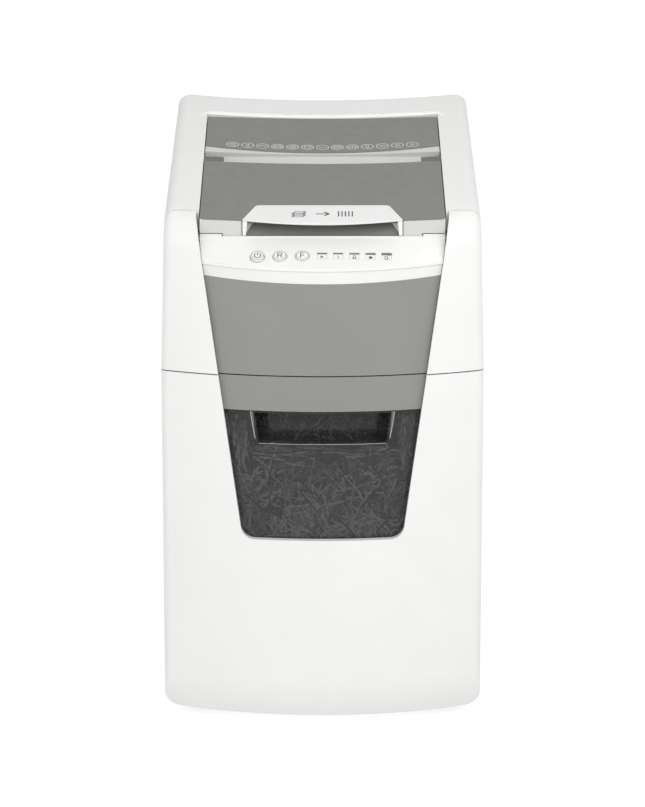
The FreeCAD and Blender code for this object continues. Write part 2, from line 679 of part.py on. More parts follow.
def recess_panel():
    """The grey back wall of the finger recess, which belongs to the lid's cover."""
    low = RECESS_HALF - 3
    high = RECESS_HALF - 13
    panel = bezel_band().cut(finger_recess())
    return panel.common(slab_xz([(-low, BEZEL_FOOT_Z, 0), (low, BEZEL_FOOT_Z, 0),
                                 (high, BEZEL_FOOT_Z + 13, 0), (high, DECK_Z + 30, 0),
                                 (-high, DECK_Z + 30, 0), (-high, BEZEL_FOOT_Z + 13, 0)], -200, -100))


def lid_bezel():
    """The pale upright bands under the lid's front edge, on both sides of the finger recess."""
    front = LID_FRONT_Y
    notch = box(TAB_X - 1.0, LID_HALF + 5, front - 5, front + TAB_DEPTH + 1.6,
                BEZEL_FOOT_Z - 5, SHELF_REAR_Z + TAB_RISE + 0.8)
    sides = bezel_band().cut([finger_recess(), recess_panel(), notch, mirrored(notch)])
    right = largest(sides.common(box(0, 200, -300, 0, 400, 700)))
    return Part.makeCompound([right, mirrored(right)])


def lid_lever():
    """The white pull on the lid's front: a tapered plate with a bowed overhang, on two short arms."""
    front = LID_FRONT_Y - 2.2
    nose = front - LEVER_BULGE
    sheet = slab_xy([(-LEVER_REAR_HALF, LEVER_REAR_Y, 5), (LEVER_REAR_HALF, LEVER_REAR_Y, 5),
                     (LEVER_FRONT_HALF, front, 0), (LEVER_FRONT_HALF, nose, 0),
                     (-LEVER_FRONT_HALF, nose, 0), (-LEVER_FRONT_HALF, front, 0)], -5, 12)
    bow_r = (LEVER_FRONT_HALF ** 2 + LEVER_BULGE ** 2) / (2 * LEVER_BULGE)
    sheet = sheet.common(rod_z(-5, 12, 0, nose + bow_r, bow_r))
    wedge = slab_yz([(nose - 1, -5, 0), (LEVER_REAR_Y + 1, -5, 0), (LEVER_REAR_Y + 1, 2.6, 0),
                     (LEVER_REAR_Y - 5, 3.2, 0), (nose - 1, LEVER_LIP, 0)], -120, 120)
    plate = along_deck(sheet.common(wedge)).common(deck(saddle(LID_SAG, 0.4)))
    inner = LEVER_FRONT_HALF - LEVER_ARM
    foot = SHELF_REAR_Z + 2.0
    arm = slab_xz([(inner + 0.6, foot, 0), (LEVER_FRONT_HALF, foot, 0), (LEVER_FRONT_HALF, DECK_Z + 3.2, 0),
                   (inner - 1.2, DECK_Z + 3.2, 0)], front + 0.1, front + 1.4)
    return united([plate, arm, mirrored(arm)])


def lid_liner():
    """The inner skin of the lid, with ribs that press on the stack."""
    half = LID_HALF - 3
    sheet = along_deck(box(-half, half, LID_FRONT_Y + 18, SLOT_FRONT_Y - 3, -LID_DEPTH, -LID_DEPTH + 2))
    ribs = [along_deck(box(x - 1, x + 1, LID_FRONT_Y + 20, SLOT_FRONT_Y - 4, -LID_DEPTH - 5, -LID_DEPTH))
            for x in (-90, -45, 0, 45, 90)]
    rear = along_deck(box(-half, half, SLOT_SIDE_Y + 2.3, HINGE_Y - 14, -LID_DEPTH, -LID_DEPTH + 2))
    bridge = [along_deck(box(x - 1.2, x + 1.2, LID_FRONT_Y + 18, HINGE_Y - 14, -LID_DEPTH - 4, -LID_DEPTH))
              for x in (-123, 123)]
    return united([sheet, rear] + ribs + bridge)


# ---------------------------------------------------------------- the bin drawer
def drawer_front():
    """The white lower front, wrapped round to the sides, with the window opening."""
    wall = CABINET_SKIN.common(box(-200, 200, -260, DRAWER_SEAM_Y, 0, HEAD_SEAM_Z - SEAM))
    wall = wall.cut(field_region(0, WINDOW_BOTTOM_Z, HEAD_SEAM_Z + 5, WINDOW_CORNER_R))
    jamb = field_jamb(WINDOW_BOTTOM_Z, HEAD_SEAM_Z + 5, WINDOW_CORNER_R).common(CABINET_RIM)
    jamb = jamb.common(box(-200, 200, -260, 0, 0, HEAD_SEAM_Z - SEAM))
    return largest(united([wall, jamb]))


def drawer_band():
    """The grey strip across the top of the window."""
    wall = front_ring(RECESS, RECESS + WALL, STRIP_BOTTOM_Z, HEAD_SEAM_Z - SEAM)
    return wall.common(field_region(-0.3, STRIP_BOTTOM_Z, HEAD_SEAM_Z - SEAM))


def grip_region(margin):
    """The finger pocket's outline, a little wider at the top, grown by the margin."""
    low = GRIP_HALF - GRIP_TAPER + margin
    high = GRIP_HALF + GRIP_TAPER + margin
    foot = GRIP_BOTTOM_Z - margin
    return slab_xz([(-low, foot, 3 + margin), (low, foot, 3 + margin),
                    (high, STRIP_BOTTOM_Z + 1, 0), (-high, STRIP_BOTTOM_Z + 1, 0)], -260, -100)


def bin_window():
    """The smoked window, notched at the top for the finger pocket."""
    pane = front_ring(RECESS + 1.0, RECESS + WALL, WINDOW_BOTTOM_Z + 0.3, STRIP_BOTTOM_Z - 0.3)
    pane = pane.common(field_region(-0.3, WINDOW_BOTTOM_Z + 0.3, STRIP_BOTTOM_Z, WINDOW_CORNER_R))
    return pane.cut(grip_region(0.2))


def grip_pocket():
    """The finger pocket behind the top of the window, open at the front."""
    back = RECESS + GRIP_DEPTH
    shell = grip_region(0).common(front_ring(RECESS + 1.0, back, GRIP_BOTTOM_Z, STRIP_BOTTOM_Z - 0.3))
    hollow = grip_region(-2.0).common(front_ring(0, back - 2.0, GRIP_BOTTOM_Z, STRIP_BOTTOM_Z - 2.5))
    return shell.cut(hollow)


def tub_plan(inset, z0, z1):
    """The bin's footprint: square at the back, bowed like the case at the front."""
    half = TUB_HALF - inset
    corner = TUB_CORNER_R - inset
    block = slab_xy([(-half, -230, 0), (half, -230, 0),
                     (half, TUB_REAR_Y - inset, corner), (-half, TUB_REAR_Y - inset, corner)], z0, z1)
    block = block.common(rod_z(z0, z1, 0, BOW_AXIS_Y, BOW_R - TUB_FRONT_OFFSET - inset))
    front_corners = [e for e in block.Edges if abs(e.CenterOfMass.x) > half - 1 and e.CenterOfMass.y < -140
                     and e.BoundBox.ZLength > 1 and e.BoundBox.YLength < 1]
    return filleted(block, front_corners, corner / 2)


def bin_tub():
    """The open-topped bin, open behind the window too, with ribs that tie it to the drawer front."""
    outer = tub_plan(0, TUB_BOTTOM_Z, TUB_TOP_Z)
    inner = tub_plan(TUB_WALL, TUB_BOTTOM_Z + TUB_WALL, TUB_TOP_Z + 1)
    view = field_region(0, WINDOW_BOTTOM_Z, TUB_TOP_Z + 5, WINDOW_CORNER_R)
    ribs = [front_ring(WALL, TUB_FRONT_OFFSET + 1, z, z + 4).common(box(x - 8, x + 8, -260, 0, z, z + 4))
            for x in (-128, 128) for z in (90, 300)]
    return united([outer.cut(inner).cut(view)] + ribs)


def drawer_runners():
    """The rails on the tub that slide in the cabinet's guides."""
    right = box(TUB_HALF, TUB_HALF + 7, RUNNER_FRONT_Y, TUB_REAR_Y - 4, RUNNER_Z, RUNNER_Z + 12)
    return Part.makeCompound([right, mirrored(right)])


def cabinet_guides():
    """Channels on the side panels that carry the drawer's runners."""
    x0 = TUB_HALF + 1
    x1 = HALF_WIDTH - WALL
    block = box(x0, x1, RUNNER_FRONT_Y - 4, BACK_SEAM_Y - 4, RUNNER_Z - 6, RUNNER_Z + 18)
    groove = box(0, TUB_HALF + 7.5, -300, 300, RUNNER_Z - 0.4, RUNNER_Z + 12.4)
    block = block.cut(groove).cut(box(TUB_HALF + 12, x1 + 1, -300, 300, RUNNER_Z - 2, RUNNER_Z + 14))
    return Part.makeCompound([block, mirrored(block)])


# ---------------------------------------------------------------- castors
def castor_parts(x, y):
    """The swivelling yoke and its pair of wheels, for a castor at x, y."""
    axle_y = y + CASTOR_TRAIL
    stem = rod_z(34, CUP_TOP + STEM_BOSS - 3, x, y, STEM_R)
    hub = rod_z(34, CUP_TOP - WALL - 1.0, x, y, 8.5)
    web = slab_yz([(y - 6, 40, 2), (y + 8, 40, 2), (axle_y + 5, 12, 3), (axle_y - 5, 12, 3)],
                  x - 1.7, x + 1.7)
    axle = rod_x(x - 9, x + 9, axle_y, CASTOR_WHEEL_R, 2.5)
    yoke = united([stem, hub, web, axle])
    wheels = []
    for side in (-1, 1):
        near = x + side * 2.3
        far = x + side * 9.4
        wheel = rod_x(min(near, far), max(near, far), axle_y, CASTOR_WHEEL_R, CASTOR_WHEEL_R)
        rims = [e for e in wheel.Edges if e.Length > 60 and abs(e.CenterOfMass.x - far) < 0.1]
        wheel = wheel.makeFillet(1.5, rims)
        wheels.append(wheel.cut(rod_x(x - 20, x + 20, axle_y, CASTOR_WHEEL_R, 2.5 + RUNNING_FIT)))
    return yoke, Part.makeCompound(wheels)


# ---------------------------------------------------------------- cutting block and drive
def gear(teeth, y, z, x, width, phase=0.0, bore=0.0):
    """A spur gear about an axis along x; a tooth points along +Y when the phase is 0."""
    root = GEAR_MODULE * (teeth / 2 - 1.15)
    tip = GEAR_MODULE * (teeth / 2 + 0.75)
    pitch = 2 * math.pi / teeth
    points = []
    for k in range(teeth):
        for radius, share in ((root, -0.29), (tip, -0.12), (tip, 0.12), (root, 0.29)):
            angle = (k + share + phase) * pitch
            points.append(V(x, y + radius * math.cos(angle), z + radius * math.sin(angle)))
    wheel = Part.Face(Part.makePolygon(points + points[:1])).extrude(V(width, 0, 0))
    if bore:
        wheel = wheel.cut(rod_x(x - 1, x + width + 1, y, z, bore))
    return wheel


def cutter_shaft(y, length_right):
    """A shaft with its journals and the round core that carries the discs."""
    core = rod_x(-CUTTER_HALF, CUTTER_HALF, y, SHAFT_Z, CORE_R - 1.5)
    shaft = rod_x(-PLATE_X - PLATE_T - 2 - GEAR_WIDTH, length_right, y, SHAFT_Z, SHAFT_R)
    return united([core, shaft])


def cutter_discs(y, first):
    """Toothed discs and the spacers between them, in one stack."""
    discs = [rod_x(-CUTTER_HALF, CUTTER_HALF, y, SHAFT_Z, CORE_R)]
    notches = []
    x = first
    while x + DISC_T < CUTTER_HALF:
        discs.append(rod_x(x, x + DISC_T, y, SHAFT_Z, DISC_R))
        x += DISC_PITCH
    for k in range(5):
        angle = k * 2 * math.pi / 5
        notch = box(-150, 150, -2.2, 2.2, DISC_R - 3.2, DISC_R + 5)
        notch.rotate(V(0, 0, 0), V(1, 0, 0), math.degrees(angle))
        notch.translate(V(0, y, SHAFT_Z))
        notches.append(notch)
    stack = united(discs).cut(notches)
    return stack.cut(rod_x(-150, 150, y, SHAFT_Z, CORE_R - 1.5))


def side_frames():
    """Steel plates that carry the shafts; the right one has the post of the reduction gear."""
    plate = box(PLATE_X, PLATE_X + PLATE_T, -62, 66, HEAD_FLOOR_Z + 3, 500)
    holes = [rod_x(-200, 200, y, SHAFT_Z, BEARING_R) for y in (FRONT_SHAFT_Y, REAR_SHAFT_Y)]
    holes += [rod_x(-200, 200, y, z, TIE_R) for y, z in TIE_SPOTS]
    plate = plate.cut(holes)
    idler_y, idler_z = idler_centre()
    arm = box(PLATE_X, PLATE_X + PLATE_T, 50, idler_y + 10, 470, idler_z + 10).cut(holes)
    post = rod_x(PLATE_X, GEAR_X + GEAR_WIDTH + 3, idler_y, idler_z, 4)
    return Part.makeCompound([united([plate, arm, post]), mirrored(plate)])


def shaft_bearings():
    """Sintered bushes in the side frames."""
    rings = []
    for y in (FRONT_SHAFT_Y, REAR_SHAFT_Y):
        for x in (-PLATE_X - PLATE_T, PLATE_X):
            ring = rod_x(x, x + PLATE_T, y, SHAFT_Z, BEARING_R)
            rings.append(ring.cut(rod_x(x - 1, x + PLATE_T + 1, y, SHAFT_Z, SHAFT_R + RUNNING_FIT)))
    return Part.makeCompound(rings)


def tie_rods():
    half = PLATE_X + PLATE_T + 2
    return Part.makeCompound([rod_x(-half, half, y, z, TIE_R) for y, z in TIE_SPOTS])


def stripper_combs():
    """Bars that lift the shreds off the discs, one outboard of each stack."""
    bars = []
    for side, y in ((-1, FRONT_SHAFT_Y), (1, REAR_SHAFT_Y)):
        near = y + side * (DISC_R + 1.5)
        far = near + side * 8
        bars.append(box(-CUTTER_HALF, CUTTER_HALF, min(near, far), max(near, far),
                        SHAFT_Z - 14, SHAFT_Z + 10))
    return Part.makeCompound(bars)


def motor():
    can = rod_x(-88, 96, MOTOR_Y, MOTOR_Z, MOTOR_R)
    can = can.makeFillet(4, [e for e in can.Edges if e.Length > 150])
    nose = rod_x(96, 106, MOTOR_Y, MOTOR_Z, 14)
    return united([can, nose]).cut(rod_x(80, 200, MOTOR_Y, MOTOR_Z, 5 + RUNNING_FIT))


def motor_cradle():
    """A folded stand that holds the motor on the head floor."""
    stands = []
    for x in (-70, 70):
        plate = box(x - 2, x + 2, MOTOR_Y - 44, MOTOR_Y + 44, HEAD_FLOOR_Z + 3, MOTOR_Z + 6)
        plate = plate.cut(rod_x(x - 5, x + 5, MOTOR_Y, MOTOR_Z, MOTOR_R + 0.1))
        foot = box(x - 10, x + 10, MOTOR_Y - 44, MOTOR_Y + 44, HEAD_FLOOR_Z + 3, HEAD_FLOOR_Z + 5)
        stands.append(united([plate, foot]).cut(rod_x(x - 12, x + 12, MOTOR_Y, MOTOR_Z, MOTOR_R + 0.1)))
    return Part.makeCompound(stands)


def motor_pinion():
    shaft = rod_x(84, GEAR_X + GEAR_WIDTH, MOTOR_Y, MOTOR_Z, 5)
    phase = meshed_phase(IDLER_TEETH, idler_phase(), idler_centre(), PINION_TEETH, (MOTOR_Y, MOTOR_Z))
    teeth = gear(PINION_TEETH, MOTOR_Y, MOTOR_Z, GEAR_X, GEAR_WIDTH, phase=phase)
    return united([shaft, teeth])


def idler_centre():
    """Where the reduction gear meshes with both the pinion and the drive gear, above their line."""
    to_pinion = GEAR_MODULE * (PINION_TEETH + IDLER_TEETH) / 2
    to_drive = GEAR_MODULE * (DRIVE_TEETH + IDLER_TEETH) / 2
    dy = MOTOR_Y - REAR_SHAFT_Y
    dz = MOTOR_Z - SHAFT_Z
    apart = math.hypot(dy, dz)
    along = (to_drive ** 2 - to_pinion ** 2 + apart ** 2) / (2 * apart)
    aside = math.sqrt(to_drive ** 2 - along ** 2)
    return (REAR_SHAFT_Y + (along * dy - aside * dz) / apart,
            SHAFT_Z + (along * dz + aside * dy) / apart)


def meshed_phase(teeth_a, phase_a, centre_a, teeth_b, centre_b):
    """The phase of gear b that puts its gaps where gear a has its teeth."""
    direction = math.atan2(centre_b[1] - centre_a[1], centre_b[0] - centre_a[0])
    turn = 2 * math.pi
    return -phase_a + direction * teeth_a / turn + (direction + math.pi) * teeth_b / turn - 0.5


def idler_phase():
    return meshed_phase(DRIVE_TEETH, 0, (REAR_SHAFT_Y, SHAFT_Z), IDLER_TEETH, idler_centre())


def idler_gear():
    """The reduction gear between the motor and the cutters."""
    y, z = idler_centre()
    return gear(IDLER_TEETH, y, z, GEAR_X, GEAR_WIDTH, phase=idler_phase(), bore=4 + RUNNING_FIT)


def drive_gear():
    return gear(DRIVE_TEETH, REAR_SHAFT_Y, SHAFT_Z, GEAR_X, GEAR_WIDTH, bore=SHAFT_R)


def timing_gear(y):
    """One of the pair that turns the two cutters against each other."""
    return gear(TIMING_TEETH, y, SHAFT_Z, -PLATE_X - PLATE_T - 2 - GEAR_WIDTH, GEAR_WIDTH, bore=SHAFT_R)


def head_floor():
    """The plate between head and bin, with the mouth that the shreds fall through."""
    half = HALF_WIDTH - WALL - 1.5
    corners = [(-half, -150, 8), (-100, -176, 8), (100, -176, 8),
               (half, -150, 8), (half, 180, 8), (-half, 180, 8)]
    plate = slab_xy(corners, HEAD_FLOOR_Z, HEAD_FLOOR_Z + 3)
    mouth = box(-CHUTE_HALF, CHUTE_HALF, -40, 40, 300, 500)
    collar = box(-CHUTE_HALF - 2, CHUTE_HALF + 2, -42, 42, HEAD_FLOOR_Z - 18, HEAD_FLOOR_Z)
    return united([plate, collar]).cut(mouth)


def feed_tray():
    """The sloping tray under the lid that holds the stack, with its side fences and roller windows."""
    floor = along_deck(box(-152, 152, LID_FRONT_Y + 8, TRAY_REAR_Y, -TRAY_DEPTH, -TRAY_DEPTH + 2.5))
    fences = [along_deck(box(min(s * 108, s * 110), max(s * 108, s * 110), LID_FRONT_Y + 8, TRAY_REAR_Y,
                             -TRAY_DEPTH + 2.5, -LID_DEPTH - 8)) for s in (-1, 1)]
    mouth = along_deck(box(-106, 106, -16, 8, -80, -20))
    windows = [along_deck(box(x - 16, x + 16, FEED_ROLLER_Y - 16, FEED_ROLLER_Y + 16, -80, -TRAY_DEPTH + 5))
               for x in FEED_ROLLER_XS]
    hangers = []
    for x in (-100, 100):
        hanger = box(x - 2, x + 2, FEED_ROLLER_Y - 8, FEED_ROLLER_Y + 8, FEED_ROLLER_H - 8, -TRAY_DEPTH + 1)
        bore = rod_x(x - 5, x + 5, FEED_ROLLER_Y, FEED_ROLLER_H, 4 + RUNNING_FIT)
        hangers.append(along_deck(hanger.cut(bore)))
    return united([floor] + fences + hangers).cut([mouth] + windows)


def feed_shaft():
    """The shaft under the tray that carries the pick-up rollers."""
    return along_deck(rod_x(-124, 124, FEED_ROLLER_Y, FEED_ROLLER_H, 4))


def feed_rollers():
    rollers = []
    for x in FEED_ROLLER_XS:
        roller = rod_x(x - 13, x + 13, FEED_ROLLER_Y, FEED_ROLLER_H, FEED_ROLLER_R)
        rollers.append(along_deck(roller.cut(rod_x(x - 14, x + 14, FEED_ROLLER_Y, FEED_ROLLER_H, 4))))
    return Part.makeCompound(rollers)


def feed_motor():
    """The small geared motor on the end of the pick-up shaft."""
    body = box(120.6, 142, FEED_ROLLER_Y - 15, FEED_ROLLER_Y + 15, FEED_ROLLER_H - 18, -TRAY_DEPTH - 0.3)
    return along_deck(body.cut(rod_x(100, 124.6, FEED_ROLLER_Y, FEED_ROLLER_H, 4 + RUNNING_FIT)))


def power_board():
    """The supply and motor-control board, standing on the head floor."""
    board = box(-150, -148.4, 60, 170, HEAD_FLOOR_Z + 8, HEAD_FLOOR_Z + 100)
    parts = [box(-148.4, -134, 80, 104, HEAD_FLOOR_Z + 20, HEAD_FLOOR_Z + 50),
             box(-148.4, -138, 120, 150, HEAD_FLOOR_Z + 30, HEAD_FLOOR_Z + 60)]
    stand = box(-151.6, -146.8, 60, 170, HEAD_FLOOR_Z + 3, HEAD_FLOOR_Z + 8)
    return united([board, stand] + parts)


def mains_inlet():
    """The mains inlet, a shrouded three-pin socket, and the housing of the mains switch beside it."""
    body = box(INLET_X - 14, INLET_X + 14, REAR_Y - 27, REAR_Y - 0.8, INLET_Z - 10.5, INLET_Z + 10.5)
    mouth = slab_xz([(INLET_X - 12, INLET_Z - 8.3, 2), (INLET_X + 12, INLET_Z - 8.3, 2),
                     (INLET_X + 12, INLET_Z + 4, 0), (INLET_X + 8, INLET_Z + 8.3, 0),
                     (INLET_X - 8, INLET_Z + 8.3, 0), (INLET_X - 12, INLET_Z + 4, 0)],
                    REAR_Y - 18, REAR_Y + 5)
    pins = [box(INLET_X + dx - 1, INLET_X + dx + 1, REAR_Y - 20, REAR_Y - 3,
                INLET_Z + dz - 2, INLET_Z + dz + 2)
            for dx, dz in ((-7, -2), (7, -2), (0, 2))]
    frame = box(SWITCH_X - 7.2, SWITCH_X + 7.2, REAR_Y - 22, REAR_Y - 0.8, INLET_Z - 10.2, INLET_Z + 10.2)
    frame = frame.cut(box(SWITCH_X - 5.8, SWITCH_X + 5.8, REAR_Y - 12, REAR_Y + 5,
                          INLET_Z - 9.2, INLET_Z + 9.2))
    return Part.makeCompound([united([body.cut(mouth)] + pins), frame])


def mains_rocker():
    """The rocker of the mains switch, turning about a pin along x."""
    face = slab_yz([(REAR_Y - 6, INLET_Z - 8.2, 0), (REAR_Y - 1.4, INLET_Z - 8.2, 0),
                    (REAR_Y - 2.6, INLET_Z, 0), (REAR_Y - 1.4, INLET_Z + 8.2, 0),
                    (REAR_Y - 6, INLET_Z + 8.2, 0),
                    (REAR_Y - 9, INLET_Z, 0)], SWITCH_X - 5.4, SWITCH_X + 5.4)
    face.rotate(V(SWITCH_X, REAR_Y - 6, INLET_Z), V(1, 0, 0), SWITCH_TILT)
    return face


def case_screws():
    """Sunk screws that hold the rear panel."""
    screws = []
    for x, z in SCREW_SPOTS:
        head = rod_y(REAR_Y - 1.6, REAR_Y - 0.2, x, z, 3.6)
        shank = rod_y(REAR_Y - WALL - 8, REAR_Y - 1.6, x, z, 1.7)
        slot = box(x - 2.4, x + 2.4, REAR_Y - 0.9, REAR_Y + 3, z - 0.5, z + 0.5)
        screws.append(united([head, shank]).cut(slot))
    return Part.makeCompound(screws)


PARTS = {
    "left_side_panel": left_side_panel,
    "right_side_panel": right_side_panel,
    "back_panel": back_panel,
    "head_back": head_back,
    "base_plate": base_plate,
    "left_head_cover": left_head_cover,
    "right_head_cover": right_head_cover,
    "top_frame": top_frame,
    "front_fascia": front_fascia,
    "control_panel": control_panel,
    "power_button": power_button,
    "reverse_button": reverse_button,
    "forward_button": forward_button,
    "indicator_lenses": indicator_lenses,
    "circuit_boards": circuit_boards,
    "lid_cover": lid_cover,
    "slot_cover": slot_cover,
    "slot_throat": slot_throat,
    "slot_ends": slot_ends,
    "lid_bezel": lid_bezel,
    "lid_lever": lid_lever,
    "lid_liner": lid_liner,
    "drawer_front": drawer_front,
    "drawer_band": drawer_band,
    "bin_window": bin_window,
    "grip_pocket": grip_pocket,
    "bin_tub": bin_tub,
    "drawer_runners": drawer_runners,
    "cabinet_guides": cabinet_guides,
    "side_frames": side_frames,
    "shaft_bearings": shaft_bearings,
    "tie_rods": tie_rods,
    "stripper_combs": stripper_combs,
    "front_cutter_shaft": lambda: cutter_shaft(FRONT_SHAFT_Y, PLATE_X + PLATE_T + 2),
    "rear_cutter_shaft": lambda: cutter_shaft(REAR_SHAFT_Y, GEAR_X + GEAR_WIDTH),
    "front_cutter_discs": lambda: cutter_discs(FRONT_SHAFT_Y, -CUTTER_HALF + 0.5),
    "rear_cutter_discs": lambda: cutter_discs(REAR_SHAFT_Y, -CUTTER_HALF + 0.5 + DISC_PITCH / 2),
    "front_timing_gear": lambda: timing_gear(FRONT_SHAFT_Y),
    "rear_timing_gear": lambda: timing_gear(REAR_SHAFT_Y),
    "motor": motor,
    "motor_cradle": motor_cradle,
    "motor_pinion": motor_pinion,
    "idler_gear": idler_gear,
    "drive_gear": drive_gear,
    "head_floor": head_floor,
    "feed_tray": feed_tray,
    "feed_shaft": feed_shaft,
    "feed_rollers": feed_rollers,
    "feed_motor": feed_motor,
    "mains_inlet": mains_inlet,
    "mains_rocker": mains_rocker,
    "case_screws": case_screws,
}


def build():
    """Every sub-part by name."""
    shapes = {name: make() for name, make in PARTS.items()}
    for (x, y), place in zip(CASTOR_SPOTS, ("front_left", "front_right", "rear_left", "rear_right")):
        yoke, wheels = castor_parts(x, y)
        shapes["castor_yoke_" + place] = yoke
        shapes["castor_wheels_" + place] = wheels
    return shapes


CABINET = cabinet_form(0)
CABINET_INSIDE = cabinet_form(WALL)
CABINET_SKIN = CABINET.cut(CABINET_INSIDE)
CABINET_RIM = CABINET.cut(cabinet_form(JAMB_DEPTH))
HEAD = head_form(0)
HEAD_SKIN = HEAD.cut(head_form(WALL))
HEAD_RIM = HEAD.cut(head_form(JAMB_DEPTH))

os.makedirs("parts", exist_ok=True)
for node, shape in build().items():
    if not shape.isValid():
        print("not valid:", node)
    shape.exportStep("parts/" + node + ".step")
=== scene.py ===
"""The looks of an auto-feed office paper shredder: materials, symbols, shreds in the bin, light and camera.

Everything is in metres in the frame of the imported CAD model, which stays as it is. The front faces -Y.
"""

import json
import math
import random

import bmesh
import bpy
from mathutils import Matrix, Vector, noise


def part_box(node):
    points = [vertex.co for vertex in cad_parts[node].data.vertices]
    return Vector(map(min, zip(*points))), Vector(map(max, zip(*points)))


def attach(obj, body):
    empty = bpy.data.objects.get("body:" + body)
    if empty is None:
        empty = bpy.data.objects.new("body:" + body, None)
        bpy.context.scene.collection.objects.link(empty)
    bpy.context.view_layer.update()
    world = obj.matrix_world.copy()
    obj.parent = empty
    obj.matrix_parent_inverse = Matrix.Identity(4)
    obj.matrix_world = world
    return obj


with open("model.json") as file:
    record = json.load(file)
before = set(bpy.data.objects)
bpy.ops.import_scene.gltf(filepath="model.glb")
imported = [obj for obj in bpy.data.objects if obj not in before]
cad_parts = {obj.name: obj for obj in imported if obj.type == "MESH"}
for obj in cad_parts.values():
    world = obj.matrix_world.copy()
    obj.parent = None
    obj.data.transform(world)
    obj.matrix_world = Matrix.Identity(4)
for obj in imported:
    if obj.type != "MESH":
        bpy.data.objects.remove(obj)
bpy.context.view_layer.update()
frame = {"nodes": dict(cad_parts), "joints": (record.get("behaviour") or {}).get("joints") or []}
nodes = frame["nodes"]
joints = {j["name"]: j for j in frame["joints"]}

MM = 0.001
rng = random.Random(7)

# the case, as the CAD model draws it
BOW_R = 380 * MM
BOW_AXIS_Y = 179.5 * MM
DECK_TILT = math.radians(13.95)
LID_FRONT = Vector((0, -157, 545.5)) * MM
ALONG_DECK = Vector((0, math.cos(DECK_TILT), math.sin(DECK_TILT)))
DECK_NORMAL = Vector((0, -math.sin(DECK_TILT), math.cos(DECK_TILT)))
RIGHT = Vector((1, 0, 0))
BACK = Vector((0, 1, 0))
UP = Vector((0, 0, 1))
BUTTON_R = 7.3 * MM
CAST_FROM = 30 * MM          # surfaces are found by a ray from this far outside them
CAST_REACH = 80 * MM


# ---------------------------------------------------------------- material kit
def new_material(name):
    """A node material, with its tree and its principled shader."""
    material = bpy.data.materials.new(name)
    material.use_nodes = True
    tree = material.node_tree
    return material, tree, tree.nodes["Principled BSDF"]


def noise_value(tree, size, detail=2.0, stretch=None):
    """Noise whose features are about this many metres across."""
    coords = tree.nodes.new("ShaderNodeTexCoord").outputs["Object"]
    if stretch:
        mapping = tree.nodes.new("ShaderNodeMapping")
        mapping.inputs["Scale"].default_value = stretch
        tree.links.new(coords, mapping.inputs["Vector"])
        coords = mapping.outputs["Vector"]
    texture = tree.nodes.new("ShaderNodeTexNoise")
    texture.inputs["Scale"].default_value = 1 / size
    texture.inputs["Detail"].default_value = detail
    tree.links.new(coords, texture.inputs["Vector"])
    return texture.outputs["Fac"]


def remap(tree, value, low, high, from_low=0.3, from_high=0.7):
    node = tree.nodes.new("ShaderNodeMapRange")
    node.inputs["From Min"].default_value = from_low
    node.inputs["From Max"].default_value = from_high
    node.inputs["To Min"].default_value = low
    node.inputs["To Max"].default_value = high
    tree.links.new(value, node.inputs["Value"])
    return node.outputs["Result"]


def blend_colours(tree, factor, low, high):
    node = tree.nodes.new("ShaderNodeMix")
    node.data_type = "RGBA"
    node.inputs["A"].default_value = (*low, 1)
    node.inputs["B"].default_value = (*high, 1)
    tree.links.new(factor, node.inputs["Factor"])
    return node.outputs["Result"]


def shade(colour, share):
    return tuple(min(1, c * share) for c in colour)


def add_bump(tree, bsdf, height, depth, edge=0.0):
    """Bump of this depth, over edges rounded to this radius where one is given."""
    bump = tree.nodes.new("ShaderNodeBump")
    bump.inputs["Distance"].default_value = depth
    bump.inputs["Strength"].default_value = 1.0
    tree.links.new(height, bump.inputs["Height"])
    if edge:
        rounded = tree.nodes.new("ShaderNodeBevel")
        rounded.samples = 4
        rounded.inputs["Radius"].default_value = edge
        tree.links.new(rounded.outputs["Normal"], bump.inputs["Normal"])
    tree.links.new(bump.outputs["Normal"], bsdf.inputs["Normal"])


def moulded(name, colour, roughness, grain=0.6 * MM, depth=0.012 * MM, mottle=0.02, edge=0.5 * MM):
    """Satin moulded plastic: a fine etched grain, soft mottling and a slightly uneven sheen."""
    material, tree, bsdf = new_material(name)
    tone = remap(tree, noise_value(tree, 45 * MM, 3), 0, 1)
    tree.links.new(blend_colours(tree, tone, shade(colour, 1 - mottle), shade(colour, 1 + mottle)),
                   bsdf.inputs["Base Color"])
    sheen = remap(tree, noise_value(tree, 12 * MM, 4), roughness - 0.05, roughness + 0.05)
    tree.links.new(sheen, bsdf.inputs["Roughness"])
    add_bump(tree, bsdf, noise_value(tree, grain, 2), depth, edge)
    return material


def metal(name, colour, roughness, stretch=(1, 1, 1), patch=4 * MM, contrast=0.12):
    """Bare or plated metal with drawn or crystalline patches."""
    material, tree, bsdf = new_material(name)
    bsdf.inputs["Metallic"].default_value = 1
    fine = noise_value(tree, patch, 4, stretch)
    tree.links.new(blend_colours(tree, remap(tree, fine, 0, 1), shade(colour, 1 - contrast),
                                 shade(colour, 1 + contrast)), bsdf.inputs["Base Color"])
    tree.links.new(remap(tree, fine, roughness - 0.08, roughness + 0.08), bsdf.inputs["Roughness"])
    add_bump(tree, bsdf, noise_value(tree, patch / 6, 2, stretch), 0.01 * MM)
    return material


